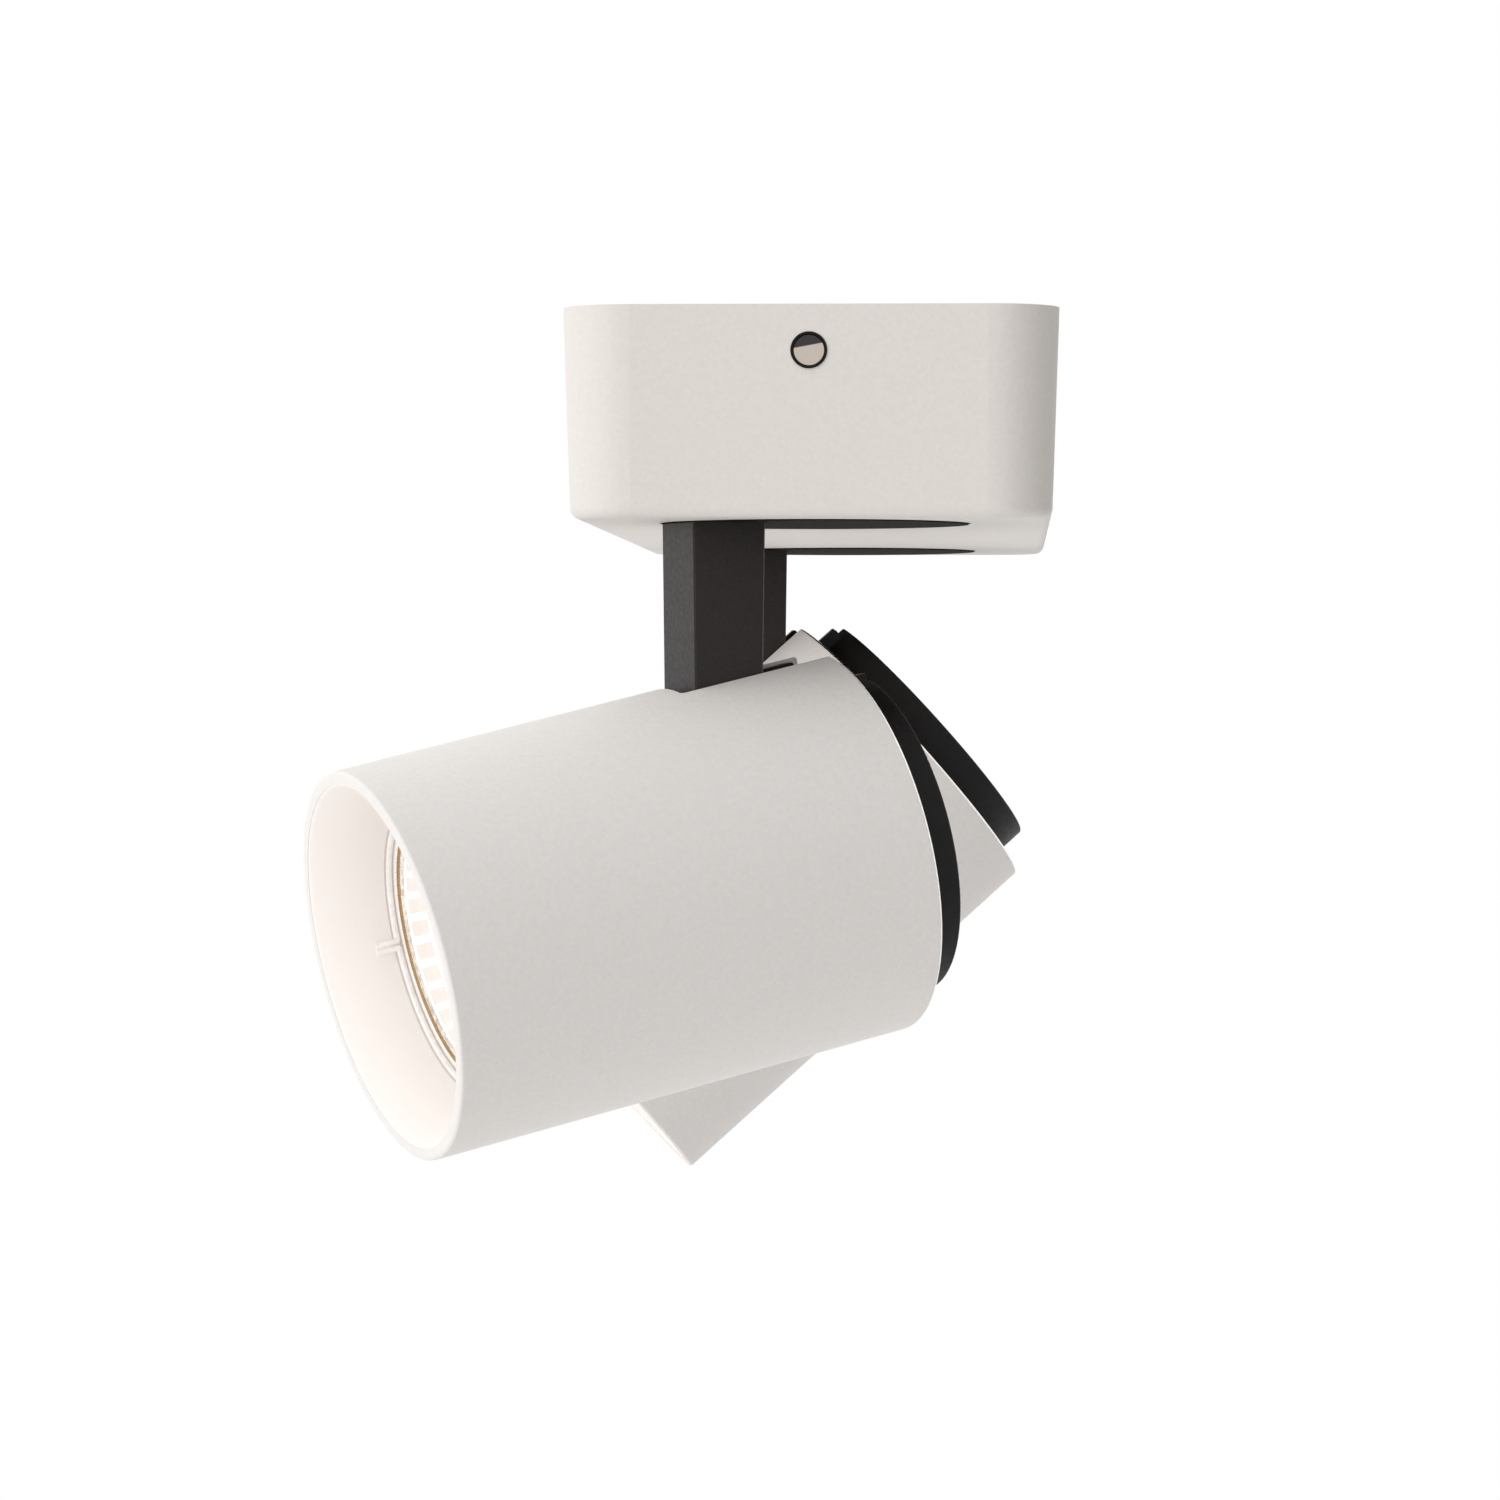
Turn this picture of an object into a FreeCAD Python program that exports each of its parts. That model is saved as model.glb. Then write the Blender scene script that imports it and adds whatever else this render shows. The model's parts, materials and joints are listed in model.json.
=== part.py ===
"""Surface-mounted ceiling spotlight with two swivelling, tilting lamp heads.

Millimetres.  The origin is the middle of the ceiling face, +Z points up into the ceiling,
Y runs along the base and -Y is its visible end.  Head "a" hangs near the -Y end, head "b"
near the +Y end.  Pieces of a head are drawn about the tilt pivot with +X along the beam and
+Z towards the slot; pieces of a swivel are drawn about the swivel axis with +X along the
heading.  Both are then placed at the rest pose.
"""
import FreeCAD
import Part

import math
import os

from FreeCAD import Placement, Rotation, Vector

# ---------------------------------------------------------------- clearances
RUN_GAP = 0.1            # between flat faces that turn on each other
SHAFT_GAP = 0.05         # radial, running shafts
THREAD_GAP = 0.05        # radial, screws in threaded holes
SEAT_GAP = 0.2           # between fixed pieces that are dropped into place
MOVE_GAP = 0.4           # between moving pieces that must not rub

# ---------------------------------------------------------------- base cover
BASE_WIDTH = 87.0
BASE_HEIGHT = 37.0
SWIVEL_SPACING = 195.0
END_MARGIN = 37.5        # swivel axis to the end of the base
BASE_CORNER_RADIUS = 12.5
BASE_DRAFT = 1.25        # each side leans in by this much at the underside
BASE_EDGE_RADIUS = 2.0
COVER_WALL = 2.5
COVER_FLOOR = 3.0
BASE_LENGTH = SWIVEL_SPACING + 2 * END_MARGIN
UNDERSIDE_Z = -BASE_HEIGHT
FLOOR_TOP_Z = UNDERSIDE_Z + COVER_FLOOR

# ---------------------------------------------------------------- cover screws, one in each end
COVER_SCREW_DROP = 8.0   # below the ceiling face
COVER_SCREW_RADIUS = 2.0
COVER_SCREW_HEAD_RADIUS = 2.7
COVER_SCREW_HEAD_HEIGHT = 1.8
COVER_SCREW_LENGTH = 9.0
COVER_RECESS_RADIUS = 3.2
COVER_RECESS_DEPTH = 2.5
PAD_THICKNESS = 4.8      # local thickening of the end wall behind the screw
PAD_HALF_WIDTH = 9.0
PAD_HEIGHT = 12.0

# ---------------------------------------------------------------- ceiling plate
PLATE_WIDTH = 70.0
PLATE_THICKNESS = 2.0
FLANGE_HEIGHT = 15.0
FLANGE_HALF_WIDTH = 15.0
LIP_HEIGHT = 4.0         # folded stiffening lip along each long side
SLOT_SPACING_X = 40.0
SLOT_SPACING_Y = 120.0
SLOT_LENGTH = 12.0
SLOT_HALF_WIDTH = 2.5
FLANGE_FACE_Y = BASE_LENGTH / 2 - PAD_THICKNESS - SEAT_GAP

# ---------------------------------------------------------------- supply cable entry and terminals
GROMMET_Y = -42.0
GROMMET_HOLE_RADIUS = 8.0
GROMMET_BORE_RADIUS = 4.5
GROMMET_FLANGE_RADIUS = 10.5
GROMMET_FLANGE_THICKNESS = 1.6
GROMMET_LENGTH = 6.0
GROMMET_TAIL_RADIUS = 6.4
CLAMP_Y = -22.0
CLAMP_WIDTH = 34.0
CLAMP_DEPTH = 9.0
CLAMP_HEIGHT = 8.0
CLAMP_ARCH_RADIUS = 5.5
CLAMP_SCREW_SPACING = 22.0
BLOCK_Y = 8.0
BLOCK_WIDTH = 32.0
BLOCK_DEPTH = 20.0
BLOCK_HEIGHT = 17.0
BLOCK_POLES = 3
BLOCK_PITCH = 10.0
BLOCK_WIRE_RADIUS = 1.8
BLOCK_WELL_RADIUS = 2.1
BLOCK_WELL_DEPTH = 3.2
BLOCK_ENTRY_DEPTH = 7.0
BLOCK_ENTRY_DROP = 11.5  # wire holes below the block's seat
BLOCK_SCREW_INSET = 5.0  # well centre from the long face
EARTH_X = 24.0
EARTH_Y = -22.0
PLATE_SCREW_RADIUS = 1.5
PLATE_SCREW_HEAD_RADIUS = 2.8
PLATE_SCREW_HEAD_HEIGHT = 1.8
EARTH_WASHER_RADIUS = 4.5
EARTH_WASHER_THICKNESS = 1.0
TERMINAL_SCREW_RADIUS = 1.7
TERMINAL_SCREW_HEIGHT = 2.4

# ---------------------------------------------------------------- swivel: disc, stem, bearing plate
DISC_RADIUS = 27.5
DISC_PROUD = 0.2
DISC_FLANGE_WIDTH = 3.5
DISC_FLANGE_THICKNESS = 1.5
STEM_RADIUS = 5.0
STEM_BORE_RADIUS = 3.5
STEM_FLANGE_RADIUS = 25.4
STEM_FLANGE_THICKNESS = 2.0
STEM_TAIL = 1.6          # stem above the nut
SLIP_THICKNESS = 1.0
SLIP_RADIUS = 14.0
BEARING_THICKNESS = 2.0
SPRING_THICKNESS = 1.0
SPRING_RADIUS = 9.0
NUT_ACROSS_FLATS = 17.0
NUT_THICKNESS = 5.0
BOSS_RADIUS = 3.6
BOSS_INSET_X = 6.75      # boss centre from the inner side wall
BOSS_INSET_Y = 9.75      # boss centre from the inner end wall
BEARING_SCREW_RADIUS = 1.5
BEARING_SCREW_HEAD_RADIUS = 2.8
BEARING_SCREW_HEAD_HEIGHT = 1.8
BEARING_SCREW_LENGTH = 5.5
STOP_PIN_RADIUS = 1.2
STOP_TAB_HALF_WIDTH = 0.9
STOP_PIN_INSET = 4.0     # stop pin centre inside the disc flange's edge
LEAD_RADIUS = 1.1
LEAD_OFFSET = 1.3
LEAD_BEND_RADIUS = 5.0
LEAD_STRAIGHT = 6.0      # straight run before a lead heads for its stem
CHANNEL_DEPTH = 3.0

DISC_BOTTOM_Z = UNDERSIDE_Z - DISC_PROUD
DISC_FLANGE_RADIUS = DISC_RADIUS + DISC_FLANGE_WIDTH
DISC_SHOULDER_Z = FLOOR_TOP_Z + RUN_GAP
DISC_TOP_Z = DISC_SHOULDER_Z + DISC_FLANGE_THICKNESS
STEM_FLANGE_Z = DISC_TOP_Z + STEM_FLANGE_THICKNESS
SLIP_BOTTOM_Z = STEM_FLANGE_Z + RUN_GAP
BEARING_BOTTOM_Z = SLIP_BOTTOM_Z + SLIP_THICKNESS
BEARING_TOP_Z = BEARING_BOTTOM_Z + BEARING_THICKNESS
SPRING_BOTTOM_Z = BEARING_TOP_Z + RUN_GAP
NUT_BOTTOM_Z = SPRING_BOTTOM_Z + SPRING_THICKNESS
NUT_TOP_Z = NUT_BOTTOM_Z + NUT_THICKNESS
STEM_TOP_Z = NUT_TOP_Z + STEM_TAIL
STOP_PIN_PLACE = DISC_FLANGE_RADIUS - STOP_PIN_INSET

# ---------------------------------------------------------------- arm
ARM_OFFSET = 19.7        # arm centre ahead of the swivel axis
ARM_HALF_DEPTH_TOP = 6.9
ARM_END_RADIUS = 6.4     # round lower end about the pivot, and half the depth there
ARM_HALF_WIDTH = 7.5
ARM_CHAMFER = 0.3
PIVOT_DROP = 38.5        # pivot below the underside
ARM_BORE_RADIUS = 2.8
ARM_BORE_BACK = 3.2      # wire bore behind the arm centre
ARM_EXIT_RADIUS = 2.2
ARM_EXIT_RISE = 6.0      # wire exit above the pivot
ARM_SCREW_AHEAD = 1.6
ARM_SCREW_SIDE = 4.2
ARM_SCREW_RADIUS = 1.5
ARM_SCREW_HEAD_RADIUS = 2.8
ARM_SCREW_LENGTH = 15.0
PIVOT_Z = UNDERSIDE_Z - PIVOT_DROP

# ---------------------------------------------------------------- tube and its slot
TUBE_RADIUS = 35.0
TUBE_WALL = 2.2
TUBE_LENGTH = 92.4
PIVOT_FROM_REAR = 22.2
PIVOT_BELOW_TOP = 10.8   # below the top of the tube
PIVOT_ABOVE_AXIS = TUBE_RADIUS - PIVOT_BELOW_TOP
TUBE_EDGE_RADIUS = 0.6
SLOT_CORNER_RADIUS = 1.0
REAR_X = -PIVOT_FROM_REAR
FRONT_X = REAR_X + TUBE_LENGTH
AXIS_Z = -PIVOT_ABOVE_AXIS
TUBE_BORE = TUBE_RADIUS - TUBE_WALL
ARM_SLOT_HALF_WIDTH = ARM_HALF_WIDTH + MOVE_GAP
SLOT_FRONT_X = ARM_HALF_DEPTH_TOP + MOVE_GAP

# ---------------------------------------------------------------- front baffle, ring and lamp
BAFFLE_SETBACK = 0.6     # behind the tube's front edge
BAFFLE_LIP = 0.7         # thickness of the baffle's front edge
BAFFLE_SHARE = 0.13      # of the tube's length, front edge to the retaining ring
LAMP_MARGIN = 7.6        # lamp rim inside the tube's bore
LAMP_RIM_THICKNESS = 3.8
LAMP_SEAT_LIP = 1.6
LAMP_LIP_THICKNESS = 1.5
RING_WIRE_RADIUS = 0.55
RING_GRIP = 0.1          # how far the ring overlaps the lamp's rim
RING_HOLD = 0.2          # how far the ring sits in its groove behind the throat
RING_GAP_ANGLE = 1.4
RING_EAR_LENGTH = 4.4
RING_EAR_INSET = 0.6
GLASS_MARGIN = 0.9       # glass edge inside the lamp's rim
GLASS_SETBACK = 0.7      # glass behind the lamp's face
GLASS_THICKNESS = 1.4
REFLECTOR_WALL = 1.3
REFLECTOR_SHARE = 0.314  # of the tube's length, lamp face to the neck
LAMP_SHARE = 0.501       # of the tube's length, lamp face to the back of its base without pins
NECK_RADIUS = 10.5
BAFFLE_DEPTH = TUBE_LENGTH * BAFFLE_SHARE
REFLECTOR_LENGTH = TUBE_LENGTH * REFLECTOR_SHARE
LAMP_LENGTH = TUBE_LENGTH * LAMP_SHARE
LAMP_RADIUS = TUBE_BORE - LAMP_MARGIN
GLASS_RADIUS = LAMP_RADIUS - GLASS_MARGIN
RING_RADIUS = LAMP_RADIUS - RING_GRIP + RING_WIRE_RADIUS
BAFFLE_THROAT_RADIUS = RING_RADIUS + RING_WIRE_RADIUS - RING_HOLD
BURNER_RADIUS = 4.5
BURNER_LENGTH = 15.0
PIN_SPACING = 10.0
PIN_NECK_RADIUS = 1.5
PIN_NECK_LENGTH = 4.4
PIN_HEAD_RADIUS = 2.4
PIN_HEAD_LENGTH = 2.2
RING_X = FRONT_X - BAFFLE_DEPTH - RING_WIRE_RADIUS - RUN_GAP
LAMP_FACE_X = RING_X - RING_WIRE_RADIUS - RUN_GAP
LAMP_RIM_BACK_X = LAMP_FACE_X - LAMP_RIM_THICKNESS
GLASS_FRONT_X = LAMP_FACE_X - GLASS_SETBACK
GLASS_SEAT_X = GLASS_FRONT_X - GLASS_THICKNESS
NECK_X = LAMP_FACE_X - REFLECTOR_LENGTH
LAMP_BACK_X = LAMP_FACE_X - LAMP_LENGTH

# ---------------------------------------------------------------- lamp holder and its bracket
HOLDER_RADIUS = 13.5
HOLDER_SHARE = 0.178     # of the tube's length
HOLDER_SCREW_SPACING = 17.0
HOLDER_SCREW_DEPTH = 7.0
BRACKET_SHEET = 1.5
BRACKET_HALF_WIDTH = 12.5
BRACKET_HALF_HEIGHT = 11.0
FOOT_LENGTH = 8.0
FOOT_HALF_HEIGHT = 5.0
SMALL_SCREW_RADIUS = 1.5
SMALL_SCREW_HEAD_RADIUS = 2.7
SMALL_SCREW_HEAD_HEIGHT = 1.7
HOLDER_LENGTH = TUBE_LENGTH * HOLDER_SHARE
HOLDER_BACK_X = LAMP_BACK_X - HOLDER_LENGTH

# ---------------------------------------------------------------- tilt bracket and pivot
FRAME_THICKNESS = 2.0
FRAME_SETBACK = 4.0      # frame plate ahead of the tube's rear edge
EAR_THICKNESS = 2.2
WASHER_THICKNESS = 1.0
WASHER_RADIUS = 5.5
PIVOT_RADIUS = 2.5
PIVOT_HEAD_RADIUS = 4.5
PIVOT_HEAD_HEIGHT = 2.5
PIVOT_NUT_FLATS = 8.0
PIVOT_NUT_THICKNESS = 2.7
PIVOT_TAIL = 0.8
WEB_AHEAD = 10.0         # web of the bracket ahead of the pivot
EAR_BELOW = 7.2
EAR_ABOVE = 6.2
NOTCH_BELOW = 16.0       # the arm notch reaches this far below the pivot
FRAME_BACK_X = REAR_X + FRAME_SETBACK
FRAME_FRONT_X = FRAME_BACK_X + FRAME_THICKNESS
NOTCH_HALF_WIDTH = ARM_SLOT_HALF_WIDTH
WASHER_INNER_Y = ARM_HALF_WIDTH + SEAT_GAP
EAR_INNER_Y = WASHER_INNER_Y + WASHER_THICKNESS
EAR_OUTER_Y = EAR_INNER_Y + EAR_THICKNESS

# ---------------------------------------------------------------- rear cap
CAP_INSET = 5.7          # inside the tube's outer surface
CAP_PROUD = 6.6          # behind the tube's rear edge
CAP_WALL = 2.2
CAP_EDGE_RADIUS = 0.5
LUG_PROUD = 4.6
LUG_INSET = 5.2          # lug top inside the tube's outer surface
LUG_WIDTH = 3.0
CAP_SCREW_INSET = 9.9    # screw centres inside the cap's edge
CAP_BOSS_RADIUS = 3.6
CAP_SCREW_RADIUS = 1.5
CAP_SCREW_HEAD_RADIUS = 2.9
CAP_SCREW_HEAD_HEIGHT = 1.7
CAP_RADIUS = TUBE_RADIUS - CAP_INSET
CAP_SCREW_PLACE = CAP_RADIUS - CAP_SCREW_INSET
CAP_BACK_X = REAR_X - CAP_PROUD

# ---------------------------------------------------------------- slot shield, a strip behind the arm
SHIELD_THICKNESS = 1.0
SHIELD_HALF_WIDTH = 1.25
SHIELD_END_RADIUS = 0.4

# ---------------------------------------------------------------- rest pose of each head
HEADS = {
    "a": {"y": -SWIVEL_SPACING / 2, "heading": 204.9, "tilt": 13.3, "shield_end": -17.6, "shield_drop": 0.9},
    "b": {"y": SWIVEL_SPACING / 2, "heading": 188.4, "tilt": 41.8, "shield_end": -21.5, "shield_drop": 0.6},
}

X_AXIS = Vector(1, 0, 0)
Y_AXIS = Vector(0, 1, 0)
Z_AXIS = Vector(0, 0, 1)
OVERCUT = 1.0            # cutters reach this far past what they cut


# ================================================================ building blocks
def box(x0, x1, y0, y1, z0, z1):
    return Part.makeBox(x1 - x0, y1 - y0, z1 - z0, Vector(x0, y0, z0))


def post(radius, z0, z1, x=0.0, y=0.0):
    """Cylinder along Z."""
    return Part.makeCylinder(radius, z1 - z0, Vector(x, y, z0), Z_AXIS)


def rod(radius, x0, x1, y=0.0, z=0.0):
    """Cylinder along X."""
    return Part.makeCylinder(radius, x1 - x0, Vector(x0, y, z), X_AXIS)


def axle(radius, y0, y1, x=0.0, z=0.0):
    """Cylinder along Y."""
    return Part.makeCylinder(radius, y1 - y0, Vector(x, y0, z), Y_AXIS)


def hexagon(across_flats, z0, z1):
    corner = across_flats / math.sqrt(3)
    turns = [math.radians(60 * n) for n in range(7)]
    outline = [Vector(corner * math.cos(t), corner * math.sin(t), z0) for t in turns]
    return Part.Face(Part.makePolygon(outline)).extrude(Vector(0, 0, z1 - z0))


def turned(profile, z=AXIS_Z):
    """Solid of revolution about the tube axis; profile holds (x, radius) points."""
    outline = [Vector(x, 0, radius) for x, radius in profile]
    solid = Part.Face(Part.makePolygon(outline + outline[:1])).revolve(Vector(), X_AXIS, 360)
    solid.translate(Vector(0, 0, z))
    return solid


def rounded_rectangle(width, length, radius, z):
    x, y = width / 2, length / 2
    bend = radius * (1 - math.sqrt(0.5))
    edges = []
    for turn in range(4):
        sx, sy = ((1, 1), (-1, 1), (-1, -1), (1, -1))[turn]
        ends = [Vector(sx * x, sy * (y - radius), z), Vector(sx * (x - radius), sy * y, z)]
        middle = Vector(sx * (x - bend), sy * (y - bend), z)
        if sx * sy < 0:
            ends.reverse()
        edges.append((ends[0], Part.Arc(ends[0], middle, ends[1]).toShape(), ends[1]))
    wire = []
    for here, following in zip(edges, edges[1:] + edges[:1]):
        wire.append(here[1])
        wire.append(Part.makeLine(here[2], following[0]))
    return Part.Wire(wire)


def tapered_block(width, length, radius, z_top, z_bottom, lean):
    """Rounded block whose sides lean in by `lean` from z_top down to z_bottom."""
    top = rounded_rectangle(width, length, radius, z_top)
    bottom = rounded_rectangle(width - 2 * lean, length - 2 * lean, radius - lean, z_bottom)
    return Part.makeLoft([top, bottom], True, True)


def flat_plate(width, length, radius, z0, z1):
    return Part.Face(rounded_rectangle(width, length, radius, z0)).extrude(Vector(0, 0, z1 - z0))


def pan_screw(shank_radius, length, head_radius, head_height):
    """Screw along -Z, the underside of its head at the origin, with a cross recess."""
    head = post(head_radius, 0, head_height)
    top_edge = [e for e in head.Edges if e.BoundBox.ZMin > head_height / 2]
    head = head.makeFillet(head_height / 2, top_edge)
    arm_half, arm_long = head_radius * 0.14, head_radius * 0.62
    depth = head_height / 2
    for half_x, half_y in ((arm_half, arm_long), (arm_long, arm_half)):
        head = head.cut(box(-half_x, half_x, -half_y, half_y, depth, head_height + OVERCUT))
    return head.fuse(post(shank_radius, -length, 0)).removeSplitter()


def countersunk_screw(shank_radius, length, head_radius):
    """Screw along -Z with its flat face at the origin, with a cross recess."""
    height = head_radius - shank_radius
    head = Part.makeCone(shank_radius, head_radius, height, Vector(0, 0, -height), Z_AXIS)
    arm_half, arm_long = head_radius * 0.14, head_radius * 0.55
    for half_x, half_y in ((arm_half, arm_long), (arm_long, arm_half)):
        head = head.cut(box(-half_x, half_x, -half_y, half_y, -height / 2, OVERCUT))
    return head.fuse(post(shank_radius, -length, -height)).removeSplitter()


def placed(shape, place, turn=None):
    copy = shape.copy()
    copy.Placement = Placement(Vector(*place), turn or Rotation())
    return copy


def group(solids):
    return Part.makeCompound(solids)


def cut_all(shape, cutters):
    for cutter in cutters:
        shape = shape.cut(cutter)
    return shape


# ================================================================ base
def lean_at(drop):
    """How far a side of the cover has leaned in, `drop` below the ceiling face."""
    return BASE_DRAFT * drop / BASE_HEIGHT


def inner_half_width_at_floor():
    return BASE_WIDTH / 2 - COVER_WALL - lean_at(BASE_HEIGHT - COVER_FLOOR)


def boss_places(centre_y):
    across = inner_half_width_at_floor() - BOSS_INSET_X
    along = END_MARGIN - COVER_WALL - lean_at(BASE_HEIGHT - COVER_FLOOR) - BOSS_INSET_Y
    return [(sx * across, centre_y + sy * along) for sx in (-1, 1) for sy in (-1, 1)]


def base_cover():
    outer = tapered_block(BASE_WIDTH, BASE_LENGTH, BASE_CORNER_RADIUS, 0, UNDERSIDE_Z, BASE_DRAFT)
    lower_edges = [e for e in outer.Edges if e.BoundBox.ZMax < UNDERSIDE_Z + OVERCUT]
    outer = outer.makeFillet(BASE_EDGE_RADIUS, lower_edges)
    cavity = tapered_block(
        BASE_WIDTH - 2 * COVER_WALL, BASE_LENGTH - 2 * COVER_WALL, BASE_CORNER_RADIUS - COVER_WALL,
        0, FLOOR_TOP_Z, lean_at(BASE_HEIGHT - COVER_FLOOR))
    shell = outer.cut(cavity)
    for head in HEADS.values():
        opening = post(DISC_RADIUS + MOVE_GAP, UNDERSIDE_Z - OVERCUT, FLOOR_TOP_Z + OVERCUT, 0, head["y"])
        shell = shell.cut(opening)
        for x, y in boss_places(head["y"]):
            shell = shell.fuse(post(BOSS_RADIUS, FLOOR_TOP_Z, BEARING_BOTTOM_Z, x, y))
            pilot = post(BEARING_SCREW_RADIUS + THREAD_GAP, FLOOR_TOP_Z, BEARING_BOTTOM_Z, x, y)
            shell = shell.cut(pilot)
    for end in (-1, 1):
        shell = shell.fuse(screw_pad(end).common(outer))
        shell = cut_all(shell, screw_passage(end))
    return shell.removeSplitter()


def screw_pad(end):
    face = end * BASE_LENGTH / 2
    depth = end * (BASE_LENGTH / 2 - PAD_THICKNESS)
    low, high = sorted((face, depth))
    middle = -COVER_SCREW_DROP
    return box(-PAD_HALF_WIDTH, PAD_HALF_WIDTH, low, high, middle - PAD_HEIGHT / 2, middle + PAD_HEIGHT / 2)


def recess_floor_y():
    """Distance from the base's middle to the bottom of a cover screw's recess."""
    return BASE_LENGTH / 2 - COVER_RECESS_DEPTH


def screw_passage(end):
    """Recess for the head and clear hole for the shank of a cover screw."""
    low, high = sorted((end * recess_floor_y(), end * (BASE_LENGTH / 2 + OVERCUT)))
    recess = axle(COVER_RECESS_RADIUS, low, high, 0, -COVER_SCREW_DROP)
    low, high = sorted((end * (BASE_LENGTH / 2 - PAD_THICKNESS - OVERCUT), end * recess_floor_y()))
    hole = axle(COVER_SCREW_RADIUS + SEAT_GAP, low, high, 0, -COVER_SCREW_DROP)
    return recess, hole


def cover_screws():
    screw = pan_screw(COVER_SCREW_RADIUS, COVER_SCREW_LENGTH, COVER_SCREW_HEAD_RADIUS, COVER_SCREW_HEAD_HEIGHT)
    return group([
        placed(screw, (0, end * recess_floor_y(), -COVER_SCREW_DROP), Rotation(X_AXIS, -90 * end))
        for end in (-1, 1)])


def slot_cutter(x, y):
    """Slot along X for a ceiling screw."""
    reach = SLOT_LENGTH / 2 - SLOT_HALF_WIDTH
    z0, z1 = -PLATE_THICKNESS - OVERCUT, OVERCUT
    middle = box(x - reach, x + reach, y - SLOT_HALF_WIDTH, y + SLOT_HALF_WIDTH, z0, z1)
    ends = [post(SLOT_HALF_WIDTH, z0, z1, x + side * reach, y) for side in (-1, 1)]
    return middle.fuse(ends)


def plate_screw_places():
    clamp = [(side * CLAMP_SCREW_SPACING / 2, CLAMP_Y) for side in (-1, 1)]
    return clamp + [(EARTH_X, EARTH_Y)]


def ceiling_plate():
    half_width, under = PLATE_WIDTH / 2, -PLATE_THICKNESS
    plate = box(-half_width, half_width, -FLANGE_FACE_Y, FLANGE_FACE_Y, under, 0)
    for side in (-1, 1):
        low, high = sorted((side * half_width, side * (half_width - PLATE_THICKNESS)))
        lip_end = FLANGE_FACE_Y - END_MARGIN
        plate = plate.fuse(box(low, high, -lip_end, lip_end, -LIP_HEIGHT, under))
        low, high = sorted((side * FLANGE_FACE_Y, side * (FLANGE_FACE_Y - PLATE_THICKNESS)))
        plate = plate.fuse(box(-FLANGE_HALF_WIDTH, FLANGE_HALF_WIDTH, low, high, -FLANGE_HEIGHT, under))
        plate = plate.cut(axle(COVER_SCREW_RADIUS + THREAD_GAP, low - OVERCUT, high + OVERCUT,
                               0, -COVER_SCREW_DROP))
    cutters = [slot_cutter(sx * SLOT_SPACING_X / 2, sy * SLOT_SPACING_Y / 2) for sx in (-1, 1) for sy in (-1, 1)]
    cutters.append(post(GROMMET_HOLE_RADIUS, under - OVERCUT, OVERCUT, 0, GROMMET_Y))
    for x, y in plate_screw_places():
        cutters.append(post(PLATE_SCREW_RADIUS + THREAD_GAP, under - OVERCUT, OVERCUT, x, y))
    return cut_all(plate, cutters).removeSplitter()


def cable_grommet():
    under = -PLATE_THICKNESS
    body = post(GROMMET_HOLE_RADIUS, under, 0)
    body = body.fuse(post(GROMMET_FLANGE_RADIUS, under - GROMMET_FLANGE_THICKNESS, under))
    body = body.fuse(post(GROMMET_TAIL_RADIUS, -GROMMET_LENGTH, under))
    body = body.cut(post(GROMMET_BORE_RADIUS, -GROMMET_LENGTH - OVERCUT, OVERCUT))
    return placed(body.removeSplitter(), (0, GROMMET_Y, 0))


def cable_clamp():
    """Saddle that presses the supply cable against the plate."""
    top, under = -PLATE_THICKNESS, -PLATE_THICKNESS - CLAMP_HEIGHT
    saddle = box(-CLAMP_WIDTH / 2, CLAMP_WIDTH / 2, -CLAMP_DEPTH / 2, CLAMP_DEPTH / 2, under, top)
    saddle = saddle.cut(axle(CLAMP_ARCH_RADIUS, -CLAMP_DEPTH, CLAMP_DEPTH, 0, top))
    for side in (-1, 1):
        hole = post(PLATE_SCREW_RADIUS + SEAT_GAP, under - OVERCUT, top + OVERCUT,
                    side * CLAMP_SCREW_SPACING / 2)
        saddle = saddle.cut(hole)
    return placed(saddle, (0, CLAMP_Y, 0))


def plate_screws():
    """Two clamp screws and the earth screw with its washer, all from below."""
    down = Rotation(X_AXIS, 180)
    clamp_screw = pan_screw(PLATE_SCREW_RADIUS, CLAMP_HEIGHT + PLATE_THICKNESS,
                            PLATE_SCREW_HEAD_RADIUS, PLATE_SCREW_HEAD_HEIGHT)
    seat = -PLATE_THICKNESS - CLAMP_HEIGHT
    solids = [placed(clamp_screw, (side * CLAMP_SCREW_SPACING / 2, CLAMP_Y, seat), down) for side in (-1, 1)]
    washer_under = -PLATE_THICKNESS - EARTH_WASHER_THICKNESS
    washer = post(EARTH_WASHER_RADIUS, washer_under, -PLATE_THICKNESS)
    washer = washer.cut(post(PLATE_SCREW_RADIUS + SEAT_GAP, washer_under - OVERCUT, 0))
    solids.append(placed(washer, (EARTH_X, EARTH_Y, 0)))
    earth_screw = pan_screw(PLATE_SCREW_RADIUS, EARTH_WASHER_THICKNESS + PLATE_THICKNESS,
                            PLATE_SCREW_HEAD_RADIUS, PLATE_SCREW_HEAD_HEIGHT)
    solids.append(placed(earth_screw, (EARTH_X, EARTH_Y, washer_under), down))
    return group(solids)


def pole_places():
    return [BLOCK_PITCH * (n - (BLOCK_POLES - 1) / 2) for n in range(BLOCK_POLES)]


def lead_entry_z():
    return -PLATE_THICKNESS - BLOCK_ENTRY_DROP


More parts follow.
